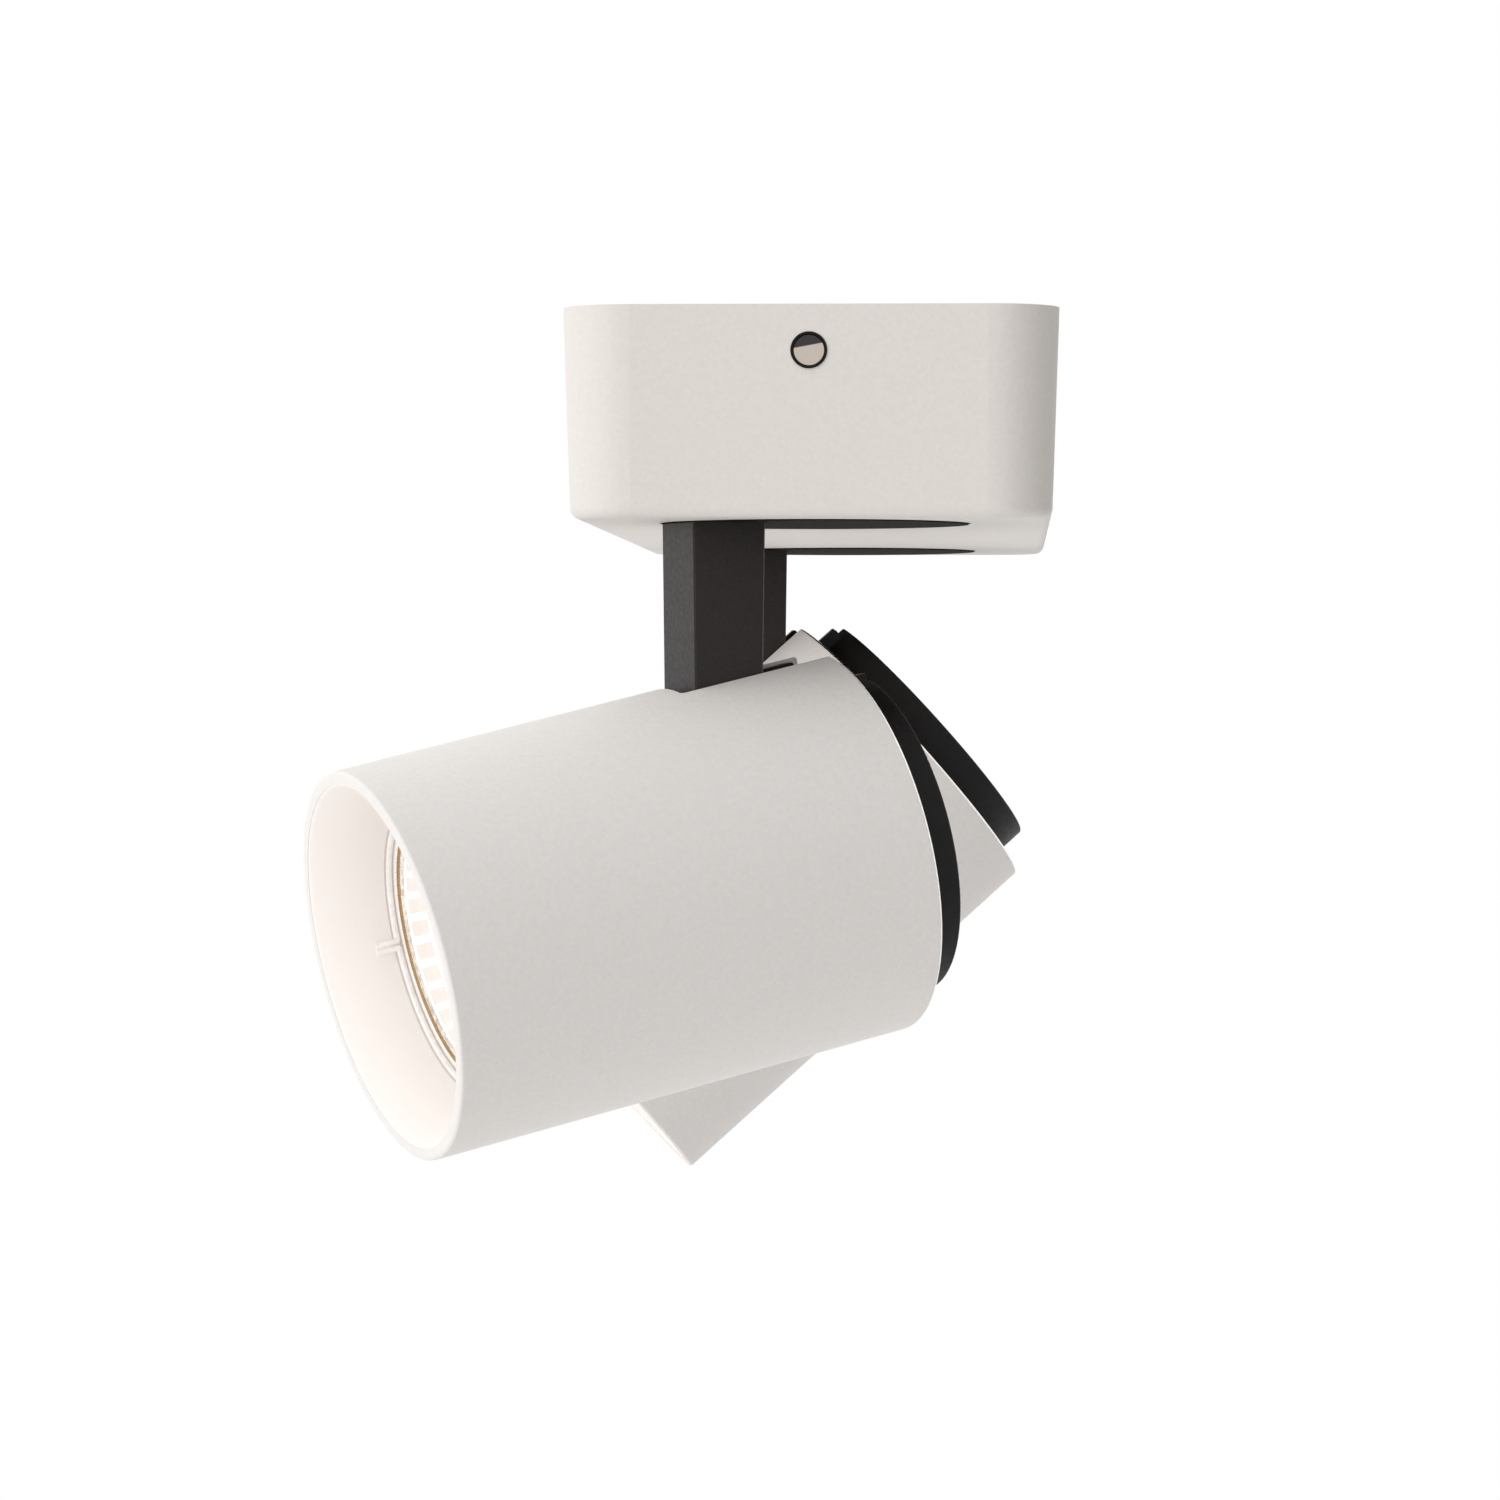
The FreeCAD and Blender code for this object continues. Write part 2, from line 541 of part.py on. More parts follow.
def terminal_block():
    top, under = -PLATE_THICKNESS, -PLATE_THICKNESS - BLOCK_HEIGHT
    block = box(-BLOCK_WIDTH / 2, BLOCK_WIDTH / 2, -BLOCK_DEPTH / 2, BLOCK_DEPTH / 2, under, top)
    for x in pole_places():
        for side in (-1, 1):
            face = side * BLOCK_DEPTH / 2
            low, high = sorted((face + side * OVERCUT, face - side * BLOCK_ENTRY_DEPTH))
            block = block.cut(axle(BLOCK_WIRE_RADIUS, low, high, x, lead_entry_z()))
            well_y = face - side * BLOCK_SCREW_INSET
            block = block.cut(post(BLOCK_WELL_RADIUS, under - OVERCUT, under + BLOCK_WELL_DEPTH, x, well_y))
    return placed(block, (0, BLOCK_Y, 0))


def terminal_screws():
    floor = -PLATE_THICKNESS - BLOCK_HEIGHT + BLOCK_WELL_DEPTH
    screw = post(TERMINAL_SCREW_RADIUS, floor - TERMINAL_SCREW_HEIGHT, floor)
    slot = box(-TERMINAL_SCREW_RADIUS, TERMINAL_SCREW_RADIUS, -TERMINAL_SCREW_RADIUS / 5,
               TERMINAL_SCREW_RADIUS / 5, floor - TERMINAL_SCREW_HEIGHT, floor - TERMINAL_SCREW_HEIGHT * 2 / 3)
    screw = screw.cut(slot)
    inset = BLOCK_DEPTH / 2 - BLOCK_SCREW_INSET
    return group([placed(screw, (x, BLOCK_Y + side * inset, 0)) for x in pole_places() for side in (-1, 1)])


def lead(points):
    """Insulated wire through the points, with a tangent arc at each turn."""
    runs, here = [], points[0]
    for before, corner, after in zip(points, points[1:], points[2:]):
        inward = (before - corner).normalize()
        onward = (after - corner).normalize()
        half_turn = (math.pi - inward.getAngle(onward)) / 2
        setback = LEAD_BEND_RADIUS * math.tan(half_turn)
        sag = LEAD_BEND_RADIUS / math.cos(half_turn) - LEAD_BEND_RADIUS
        arc_start, arc_end = corner + inward * setback, corner + onward * setback
        middle = corner + (inward + onward).normalize() * sag
        runs.append(Part.makeLine(here, arc_start))
        runs.append(Part.Arc(arc_start, middle, arc_end).toShape())
        here = arc_end
    runs.append(Part.makeLine(here, points[-1]))
    section = Part.Wire(Part.makeCircle(LEAD_RADIUS, points[0], points[1] - points[0]))
    return Part.Wire(runs).makePipeShell([section], True, False)


def base_leads():
    """A pair of leads from the outer poles of the terminal block down into each hollow stem."""
    solids = []
    for head in HEADS.values():
        away = math.copysign(1, head["y"])
        face_y = BLOCK_Y + away * BLOCK_DEPTH / 2
        for pole_x in (pole_places()[0], pole_places()[-1]):
            stem_x = math.copysign(LEAD_OFFSET, pole_x)
            solids.append(lead([
                Vector(pole_x, face_y - away * BLOCK_ENTRY_DEPTH / 2, lead_entry_z()),
                Vector(pole_x, face_y + away * LEAD_STRAIGHT, lead_entry_z()),
                Vector(stem_x, head["y"], lead_entry_z()),
                Vector(stem_x, head["y"], STEM_TOP_Z - STEM_BORE_RADIUS)]))
    return group(solids)


def bearing_plate(head):
    """Steel plate on four bosses of the cover; it carries the swivel and its stop pin."""
    places = boss_places(0)
    half_x = max(x for x, y in places) + BOSS_RADIUS
    half_y = max(y for x, y in places) + BOSS_RADIUS
    plate = flat_plate(2 * half_x, 2 * half_y, BOSS_RADIUS, BEARING_BOTTOM_Z, BEARING_TOP_Z)
    plate = plate.cut(post(STEM_RADIUS + SHAFT_GAP, BEARING_BOTTOM_Z - OVERCUT, BEARING_TOP_Z + OVERCUT))
    for x, y in places:
        hole = post(BEARING_SCREW_RADIUS + SEAT_GAP, BEARING_BOTTOM_Z - OVERCUT, BEARING_TOP_Z + OVERCUT, x, y)
        plate = plate.cut(hole)
    pin = post(STOP_PIN_RADIUS, DISC_TOP_Z + SEAT_GAP, BEARING_BOTTOM_Z, STOP_PIN_PLACE)
    return placed(plate.fuse(pin).removeSplitter(), (0, head["y"], 0))


def bearing_screws():
    screw = pan_screw(BEARING_SCREW_RADIUS, BEARING_SCREW_LENGTH, BEARING_SCREW_HEAD_RADIUS,
                      BEARING_SCREW_HEAD_HEIGHT)
    return group([
        placed(screw, (x, y, BEARING_TOP_Z)) for head in HEADS.values() for x, y in boss_places(head["y"])])


def slip_washers():
    washer = post(SLIP_RADIUS, SLIP_BOTTOM_Z, BEARING_BOTTOM_Z)
    washer = washer.cut(post(STEM_RADIUS + SHAFT_GAP, SLIP_BOTTOM_Z - OVERCUT, BEARING_BOTTOM_Z + OVERCUT))
    return group([placed(washer, (0, head["y"], 0)) for head in HEADS.values()])


# ================================================================ swivel, drawn about its axis
def arm_bore_x():
    return ARM_OFFSET - ARM_BORE_BACK


def arm_screw_places():
    return [(ARM_OFFSET + ARM_SCREW_AHEAD, side * ARM_SCREW_SIDE) for side in (-1, 1)]


def swivel_disc():
    disc = post(DISC_RADIUS, DISC_BOTTOM_Z, DISC_TOP_Z)
    disc = disc.fuse(post(DISC_FLANGE_RADIUS, DISC_SHOULDER_Z, DISC_TOP_Z))
    channel_floor = DISC_TOP_Z - CHANNEL_DEPTH
    cutters = [
        post(STEM_BORE_RADIUS, channel_floor, DISC_TOP_Z + OVERCUT),
        box(0, arm_bore_x(), -ARM_BORE_RADIUS, ARM_BORE_RADIUS, channel_floor, DISC_TOP_Z + OVERCUT),
        post(ARM_BORE_RADIUS, DISC_BOTTOM_Z - OVERCUT, DISC_TOP_Z + OVERCUT, arm_bore_x()),
    ]
    for x, y in arm_screw_places():
        cutters.append(post(ARM_SCREW_RADIUS + SEAT_GAP, DISC_BOTTOM_Z - OVERCUT, DISC_TOP_Z + OVERCUT, x, y))
    return cut_all(disc, cutters).removeSplitter()


def swivel_stem():
    """Hollow stem on a round flange, with the tab that meets the stop pin."""
    stem = post(STEM_RADIUS, DISC_TOP_Z, STEM_TOP_Z)
    stem = stem.fuse(post(STEM_FLANGE_RADIUS, DISC_TOP_Z, STEM_FLANGE_Z))
    tab_end = STOP_PIN_PLACE + STOP_PIN_RADIUS
    stem = stem.fuse(box(STEM_RADIUS, tab_end, -STOP_TAB_HALF_WIDTH, STOP_TAB_HALF_WIDTH,
                         DISC_TOP_Z, STEM_FLANGE_Z))
    cutters = [post(STEM_BORE_RADIUS, DISC_TOP_Z - OVERCUT, STEM_TOP_Z + OVERCUT)]
    sink_height = ARM_SCREW_HEAD_RADIUS - ARM_SCREW_RADIUS
    for x, y in arm_screw_places():
        cutters.append(post(ARM_SCREW_RADIUS + SEAT_GAP, DISC_TOP_Z - OVERCUT, STEM_FLANGE_Z + OVERCUT, x, y))
        cutters.append(Part.makeCone(
            ARM_SCREW_RADIUS + SEAT_GAP, ARM_SCREW_HEAD_RADIUS + SEAT_GAP, sink_height,
            Vector(x, y, STEM_FLANGE_Z - sink_height), Z_AXIS))
    return cut_all(stem, cutters).removeSplitter()


def spring_washer():
    washer = post(SPRING_RADIUS, SPRING_BOTTOM_Z, NUT_BOTTOM_Z)
    return washer.cut(post(STEM_RADIUS + SHAFT_GAP, SPRING_BOTTOM_Z - OVERCUT, NUT_BOTTOM_Z + OVERCUT))


def stem_nut():
    nut = hexagon(NUT_ACROSS_FLATS, NUT_BOTTOM_Z, NUT_TOP_Z)
    return nut.cut(post(STEM_RADIUS + THREAD_GAP, NUT_BOTTOM_Z - OVERCUT, NUT_TOP_Z + OVERCUT))


def arm_outline():
    """Side of the arm: straight flanks narrowing to a round end about the pivot."""
    top, low = DISC_BOTTOM_Z, PIVOT_Z
    front_top = Vector(ARM_OFFSET + ARM_HALF_DEPTH_TOP, 0, top)
    back_top = Vector(ARM_OFFSET - ARM_HALF_DEPTH_TOP, 0, top)
    front_low = Vector(ARM_OFFSET + ARM_END_RADIUS, 0, low)
    back_low = Vector(ARM_OFFSET - ARM_END_RADIUS, 0, low)
    tip = Vector(ARM_OFFSET, 0, low - ARM_END_RADIUS)
    return Part.Wire([
        Part.makeLine(back_top, front_top), Part.makeLine(front_top, front_low),
        Part.Arc(front_low, tip, back_low).toShape(), Part.makeLine(back_low, back_top)])


def arm():
    blade = Part.Face(arm_outline())
    blade.translate(Vector(0, -ARM_HALF_WIDTH, 0))
    blade = blade.extrude(Vector(0, 2 * ARM_HALF_WIDTH, 0))
    flank_edges = [
        e for e in blade.Edges
        if abs(abs(e.CenterOfMass.y) - ARM_HALF_WIDTH) < ARM_CHAMFER and e.BoundBox.ZMax < DISC_BOTTOM_Z + OVERCUT
        and e.BoundBox.ZLength > ARM_END_RADIUS / 2]
    blade = blade.makeChamfer(ARM_CHAMFER, flank_edges)
    exit_z = PIVOT_Z + ARM_EXIT_RISE
    cutters = [
        axle(PIVOT_RADIUS + SHAFT_GAP, -ARM_HALF_WIDTH - OVERCUT, ARM_HALF_WIDTH + OVERCUT, ARM_OFFSET, PIVOT_Z),
        post(ARM_BORE_RADIUS, exit_z, DISC_BOTTOM_Z + OVERCUT, arm_bore_x()),
        rod(ARM_EXIT_RADIUS, arm_bore_x(), ARM_OFFSET + ARM_HALF_DEPTH_TOP + OVERCUT, 0, exit_z),
    ]
    screw_depth = DISC_BOTTOM_Z - (ARM_SCREW_LENGTH - (STEM_FLANGE_Z - DISC_BOTTOM_Z)) - OVERCUT
    for x, y in arm_screw_places():
        cutters.append(post(ARM_SCREW_RADIUS + THREAD_GAP, screw_depth, DISC_BOTTOM_Z + OVERCUT, x, y))
    return cut_all(blade, cutters).removeSplitter()


def arm_screws():
    screw = countersunk_screw(ARM_SCREW_RADIUS, ARM_SCREW_LENGTH, ARM_SCREW_HEAD_RADIUS)
    return group([placed(screw, (x, y, STEM_FLANGE_Z)) for x, y in arm_screw_places()])


def slot_shield(head):
    """Thin strip along the tube's slot, from the back of the arm towards the rear."""
    tilt = Rotation(Y_AXIS, head["tilt"])
    top = PIVOT_BELOW_TOP - head["shield_drop"]
    strip = box(head["shield_end"], 0, -SHIELD_HALF_WIDTH, SHIELD_HALF_WIDTH, top - SHIELD_THICKNESS, top)
    end_edges = [
        e for e in strip.Edges if e.BoundBox.XMax < head["shield_end"] + OVERCUT and e.BoundBox.YLength > OVERCUT]
    strip = strip.makeFillet(SHIELD_END_RADIUS, end_edges)
    strip.Placement = Placement(Vector(ARM_OFFSET, 0, PIVOT_Z), tilt)
    arm_zone = box(ARM_OFFSET - ARM_HALF_DEPTH_TOP, ARM_OFFSET + TUBE_LENGTH, -TUBE_RADIUS, TUBE_RADIUS,
                   PIVOT_Z - TUBE_RADIUS, DISC_BOTTOM_Z)
    return strip.cut(arm_zone)


# ================================================================ lamp head, drawn about the pivot
def tube():
    """Round tube with a slot for the arm, open at the rear."""
    shell = rod(TUBE_RADIUS, REAR_X, FRONT_X, 0, AXIS_Z)
    shell = shell.cut(rod(TUBE_BORE, REAR_X - OVERCUT, FRONT_X + OVERCUT, 0, AXIS_Z))
    rims = [e for e in shell.Edges if e.BoundBox.XLength < OVERCUT and e.BoundBox.YLength > 2 * TUBE_RADIUS - OVERCUT]
    shell = shell.makeFillet(TUBE_EDGE_RADIUS, rims)
    slot = box(REAR_X - OVERCUT, SLOT_FRONT_X, -ARM_SLOT_HALF_WIDTH, ARM_SLOT_HALF_WIDTH, 0,
               TUBE_RADIUS)
    front_edges = [
        e for e in slot.Edges if e.BoundBox.XMin > SLOT_FRONT_X - OVERCUT and e.BoundBox.ZLength > OVERCUT]
    return shell.cut(slot.makeFillet(SLOT_CORNER_RADIUS, front_edges))


def front_baffle():
    """White cone inside the front of the tube, with the ring groove and the lamp's seat."""
    outer = TUBE_BORE - RUN_GAP
    front = FRONT_X - BAFFLE_SETBACK
    throat = FRONT_X - BAFFLE_DEPTH
    groove_back = LAMP_FACE_X
    seat_radius = LAMP_RADIUS + SEAT_GAP
    lip_radius = LAMP_RADIUS - LAMP_SEAT_LIP
    lip_back = LAMP_RIM_BACK_X - LAMP_LIP_THICKNESS
    groove_radius = RING_RADIUS + RING_WIRE_RADIUS + RUN_GAP
    return turned([
        (front, outer), (front, outer - BAFFLE_LIP), (throat, BAFFLE_THROAT_RADIUS),
        (throat, groove_radius), (groove_back, groove_radius), (groove_back, seat_radius),
        (LAMP_RIM_BACK_X, seat_radius), (LAMP_RIM_BACK_X, lip_radius), (lip_back, lip_radius),
        (lip_back, outer)])


def retaining_ring():
    """Open wire ring in front of the lamp; its two ends are bent forward."""
    sweep = 360 - 2 * RING_GAP_ANGLE
    start = Rotation(X_AXIS, RING_GAP_ANGLE)
    ends = []
    for turn in (RING_GAP_ANGLE, 360 - RING_GAP_ANGLE):
        ends.append(Rotation(X_AXIS, turn).multVec(Vector(RING_X, -RING_RADIUS, 0)))
    section = Part.Face(Part.Wire(Part.makeCircle(RING_WIRE_RADIUS, ends[0], start.multVec(Z_AXIS))))
    ring = section.revolve(Vector(), X_AXIS, sweep)
    for end in ends:
        ear = end * (1 - RING_EAR_INSET / RING_RADIUS)
        ring = ring.fuse(rod(RING_WIRE_RADIUS, RING_X, RING_X + RING_EAR_LENGTH, ear.y, ear.z))
    ring.translate(Vector(0, 0, AXIS_Z))
    return ring.removeSplitter()


def bowl_point(share, offset):
    """Point of the reflector's curved wall, from the rim (0) to the neck (1)."""
    x = LAMP_RIM_BACK_X + (NECK_X - LAMP_RIM_BACK_X) * share
    rim = LAMP_RADIUS - LAMP_SEAT_LIP - SEAT_GAP
    radius = NECK_RADIUS + (rim - NECK_RADIUS) * math.sqrt(1 - share * share * 0.96)
    return (x, radius - offset)


def lamp_reflector():
    """Lamp body: rim, curved reflector and neck in one revolved shell."""
    steps = 8
    outside = [bowl_point(n / steps, 0) for n in range(steps + 1)]
    inside = [bowl_point(n / steps, REFLECTOR_WALL) for n in range(steps, -1, -1)]
    seat_radius = GLASS_RADIUS + RUN_GAP
    profile = [(LAMP_FACE_X, seat_radius), (LAMP_FACE_X, LAMP_RADIUS), (LAMP_RIM_BACK_X, LAMP_RADIUS)]
    profile += outside + [(NECK_X, NECK_RADIUS), (LAMP_BACK_X, NECK_RADIUS), (LAMP_BACK_X, 0)]
    profile += [(NECK_X + REFLECTOR_WALL, 0)] + inside
    profile += [(GLASS_SEAT_X, inside[-1][1]), (GLASS_SEAT_X, seat_radius)]
    return turned(profile)


def lamp_glass():
    return rod(GLASS_RADIUS, GLASS_SEAT_X, GLASS_FRONT_X, 0, AXIS_Z)


def lamp_burner():
    """Small capsule on the floor of the reflector."""
    floor = NECK_X + REFLECTOR_WALL
    shoulder = floor + BURNER_LENGTH - BURNER_RADIUS
    capsule = rod(BURNER_RADIUS, floor, shoulder, 0, AXIS_Z)
    dome = Part.makeSphere(BURNER_RADIUS, Vector(shoulder, 0, AXIS_Z))
    dome = dome.common(rod(BURNER_RADIUS + OVERCUT, shoulder, shoulder + BURNER_RADIUS + OVERCUT, 0, AXIS_Z))
    return capsule.fuse(dome).removeSplitter()


def lamp_pins():
    solids = []
    for side in (-1, 1):
        y = side * PIN_SPACING / 2
        neck_back = LAMP_BACK_X - PIN_NECK_LENGTH
        pin = rod(PIN_NECK_RADIUS, neck_back, LAMP_BACK_X, y, AXIS_Z)
        pin = pin.fuse(rod(PIN_HEAD_RADIUS, neck_back - PIN_HEAD_LENGTH, neck_back, y, AXIS_Z))
        solids.append(pin.removeSplitter())
    return group(solids)


def holder_screw_heights():
    return [AXIS_Z + side * HOLDER_SCREW_SPACING / 2 for side in (-1, 1)]


def lamp_holder():
    """Ceramic twist-lock socket behind the lamp."""
    body = rod(HOLDER_RADIUS, HOLDER_BACK_X, LAMP_BACK_X, 0, AXIS_Z)
    well = PIN_NECK_LENGTH + PIN_HEAD_LENGTH + SEAT_GAP
    cutters = []
    for side in (-1, 1):
        cutters.append(rod(PIN_HEAD_RADIUS + SEAT_GAP, LAMP_BACK_X - well, LAMP_BACK_X + OVERCUT,
                           side * PIN_SPACING / 2, AXIS_Z))
        cutters.append(rod(LEAD_RADIUS + SEAT_GAP, HOLDER_BACK_X - OVERCUT, LAMP_BACK_X - well,
                           side * PIN_SPACING / 2, AXIS_Z))
    for z in holder_screw_heights():
        cutters.append(rod(SMALL_SCREW_RADIUS + THREAD_GAP, HOLDER_BACK_X - OVERCUT,
                           HOLDER_BACK_X + HOLDER_SCREW_DEPTH, 0, z))
    return cut_all(body, cutters)


def foot_screw_y():
    return BRACKET_HALF_WIDTH + FOOT_LENGTH / 2


def holder_bracket():
    """Bent strap between the lamp holder and the frame plate."""
    half_w, half_h = BRACKET_HALF_WIDTH, BRACKET_HALF_HEIGHT
    sheet_back = HOLDER_BACK_X - BRACKET_SHEET
    strap = box(sheet_back, HOLDER_BACK_X, -half_w, half_w, AXIS_Z - half_h, AXIS_Z + half_h)
    for side in (-1, 1):
        low, high = sorted((side * half_w, side * (half_w - BRACKET_SHEET)))
        strap = strap.fuse(box(FRAME_FRONT_X, HOLDER_BACK_X, low, high,
                               AXIS_Z - FOOT_HALF_HEIGHT, AXIS_Z + FOOT_HALF_HEIGHT))
        low, high = sorted((side * (half_w - BRACKET_SHEET), side * (half_w + FOOT_LENGTH)))
        strap = strap.fuse(box(FRAME_FRONT_X, FRAME_FRONT_X + BRACKET_SHEET, low, high,
                               AXIS_Z - FOOT_HALF_HEIGHT, AXIS_Z + FOOT_HALF_HEIGHT))
        strap = strap.cut(rod(SMALL_SCREW_RADIUS + SEAT_GAP, FRAME_FRONT_X - OVERCUT,
                              FRAME_FRONT_X + BRACKET_SHEET + OVERCUT, side * foot_screw_y(), AXIS_Z))
        strap = strap.cut(rod(LEAD_RADIUS + SEAT_GAP, sheet_back - OVERCUT, HOLDER_BACK_X + OVERCUT,
                              side * PIN_SPACING / 2, AXIS_Z))
    for z in holder_screw_heights():
        strap = strap.cut(rod(SMALL_SCREW_RADIUS + SEAT_GAP, sheet_back - OVERCUT, HOLDER_BACK_X + OVERCUT, 0, z))
    return strap.removeSplitter()


def holder_screws():
    """Two screws into the holder from behind and two through the feet into the frame plate."""
    into_holder = pan_screw(SMALL_SCREW_RADIUS, HOLDER_SCREW_DEPTH, SMALL_SCREW_HEAD_RADIUS,
                            SMALL_SCREW_HEAD_HEIGHT)
    into_frame = pan_screw(SMALL_SCREW_RADIUS, BRACKET_SHEET + FRAME_THICKNESS, SMALL_SCREW_HEAD_RADIUS,
                           SMALL_SCREW_HEAD_HEIGHT)
    facing_back, facing_front = Rotation(Y_AXIS, -90), Rotation(Y_AXIS, 90)
    solids = [
        placed(into_holder, (HOLDER_BACK_X - BRACKET_SHEET, 0, z), facing_back) for z in holder_screw_heights()]
    solids += [
        placed(into_frame, (FRAME_FRONT_X + BRACKET_SHEET, side * foot_screw_y(), AXIS_Z), facing_front)
        for side in (-1, 1)]
    return group(solids)


def notch(x0, x1):
    """Space that the arm and its strip sweep at the rear of the head."""
    return box(x0, x1, -NOTCH_HALF_WIDTH, NOTCH_HALF_WIDTH, -NOTCH_BELOW, TUBE_RADIUS)


def tilt_bracket():
    """Round frame plate at the rear of the tube with two ears that carry the pivot."""
    frame = rod(TUBE_BORE - SEAT_GAP, FRAME_BACK_X, FRAME_FRONT_X, 0, AXIS_Z)
    frame = frame.cut(notch(FRAME_BACK_X - OVERCUT, FRAME_FRONT_X + OVERCUT))
    web_front = WEB_AHEAD + EAR_THICKNESS
    ears = box(FRAME_FRONT_X, web_front, -EAR_OUTER_Y, EAR_OUTER_Y, -EAR_BELOW, EAR_ABOVE)
    ears = ears.cut(box(FRAME_FRONT_X - OVERCUT, WEB_AHEAD, -EAR_INNER_Y, EAR_INNER_Y,
                        -EAR_BELOW - OVERCUT, EAR_ABOVE + OVERCUT))
    bracket = frame.fuse(ears)
    bracket = bracket.cut(axle(PIVOT_RADIUS + THREAD_GAP, -EAR_OUTER_Y - OVERCUT, EAR_OUTER_Y + OVERCUT))
    for side in (-1, 1):
        for radius, y in ((SMALL_SCREW_RADIUS, foot_screw_y()), (CAP_SCREW_RADIUS, CAP_SCREW_PLACE)):
            z = AXIS_Z if y == foot_screw_y() else cap_screw_z()
            bracket = bracket.cut(rod(radius + THREAD_GAP, FRAME_BACK_X - OVERCUT, FRAME_FRONT_X + OVERCUT,
                                      side * y, z))
    return bracket.removeSplitter()


def pivot_pin():
    pin = axle(PIVOT_RADIUS, -EAR_OUTER_Y - PIVOT_NUT_THICKNESS - PIVOT_TAIL, EAR_OUTER_Y)
    return pin.fuse(axle(PIVOT_HEAD_RADIUS, EAR_OUTER_Y, EAR_OUTER_Y + PIVOT_HEAD_HEIGHT)).removeSplitter()


def pivot_nut():
    nut = hexagon(PIVOT_NUT_FLATS, 0, PIVOT_NUT_THICKNESS)
    nut = nut.cut(post(PIVOT_RADIUS + THREAD_GAP, -OVERCUT, PIVOT_NUT_THICKNESS + OVERCUT))
    return placed(nut, (0, -EAR_OUTER_Y, 0), Rotation(X_AXIS, 90))


def tilt_washers():
    solids = []
    for side in (-1, 1):
        low, high = sorted((side * WASHER_INNER_Y, side * EAR_INNER_Y))
        washer = axle(WASHER_RADIUS, low, high)
        solids.append(washer.cut(axle(PIVOT_RADIUS + THREAD_GAP, low - OVERCUT, high + OVERCUT)))
    return group(solids)


def cap_screw_z():
    return AXIS_Z - CAP_BOSS_RADIUS * 2


def rear_cap():
    """Black cup behind the tube, with a lug on one side of the arm notch."""
    cup = rod(CAP_RADIUS, CAP_BACK_X, FRAME_BACK_X, 0, AXIS_Z)
    back_edge = [e for e in cup.Edges if e.BoundBox.XMax < CAP_BACK_X + OVERCUT and e.BoundBox.XLength < OVERCUT]
    cup = cup.makeFillet(CAP_EDGE_RADIUS, back_edge)
    hollow = rod(CAP_RADIUS - CAP_WALL, CAP_BACK_X + CAP_WALL, FRAME_BACK_X + OVERCUT, 0, AXIS_Z)
    hollow = hollow.cut(box(CAP_BACK_X, FRAME_BACK_X + OVERCUT, -NOTCH_HALF_WIDTH - CAP_WALL,
                            NOTCH_HALF_WIDTH + CAP_WALL, -NOTCH_BELOW - CAP_WALL, TUBE_RADIUS))
    for side in (-1, 1):
        hollow = hollow.cut(rod(CAP_BOSS_RADIUS, CAP_BACK_X, FRAME_BACK_X + OVERCUT,
                                side * CAP_SCREW_PLACE, cap_screw_z()))
    cap = cup.cut(hollow)
    cap = cap.fuse(box(REAR_X - LUG_PROUD, FRAME_BACK_X, NOTCH_HALF_WIDTH, NOTCH_HALF_WIDTH + LUG_WIDTH,
                       0, PIVOT_BELOW_TOP - LUG_INSET))
    cap = cap.cut(notch(CAP_BACK_X - OVERCUT, FRAME_BACK_X + OVERCUT))
    sink = CAP_SCREW_HEAD_RADIUS - CAP_SCREW_RADIUS
    for side in (-1, 1):
        place = Vector(CAP_BACK_X, side * CAP_SCREW_PLACE, cap_screw_z())
        cap = cap.cut(rod(CAP_SCREW_RADIUS + SEAT_GAP, CAP_BACK_X - OVERCUT, FRAME_BACK_X + OVERCUT,
                          place.y, place.z))
        cap = cap.cut(Part.makeCone(CAP_SCREW_HEAD_RADIUS + SEAT_GAP, CAP_SCREW_RADIUS + SEAT_GAP, sink,
                                    place, X_AXIS))
    return cap.removeSplitter()


def cap_screws():
    length = FRAME_FRONT_X - CAP_BACK_X
    screw = countersunk_screw(CAP_SCREW_RADIUS, length, CAP_SCREW_HEAD_RADIUS)
    facing_back = Rotation(Y_AXIS, -90)
    return group([
        placed(screw, (CAP_BACK_X, side * CAP_SCREW_PLACE, cap_screw_z()), facing_back) for side in (-1, 1)])


# ================================================================ rest pose and export
def swivel_place(head):
    return Placement(Vector(0, head["y"], 0), Rotation(Z_AXIS, head["heading"]))


def head_place(head):
    tilt = Placement(Vector(ARM_OFFSET, 0, PIVOT_Z), Rotation(Y_AXIS, head["tilt"]))
    return swivel_place(head).multiply(tilt)


def moved(shape, place):
    copy = shape.copy()
    copy.Placement = place.multiply(copy.Placement)
    return copy


def base_pieces():
    pieces = {
        "ceiling_plate": ceiling_plate(),
        "base_cover": base_cover(),
        "cover_screws": cover_screws(),
        "terminal_block": terminal_block(),
        "terminal_screws": terminal_screws(),
        "plate_screws": plate_screws(),
        "cable_grommet": cable_grommet(),
        "cable_clamp": cable_clamp(),
        "bearing_screws": bearing_screws(),
        "slip_washers": slip_washers(),
        "base_leads": base_leads(),
    }
    for name, head in HEADS.items():
        pieces["bearing_plate_" + name] = bearing_plate(head)
    return pieces


SWIVEL_PIECES = {
    "swivel_disc": swivel_disc,
    "swivel_stem": swivel_stem,
    "spring_washer": spring_washer,
    "stem_nut": stem_nut,
    "arm": arm,
    "arm_screws": arm_screws,
}

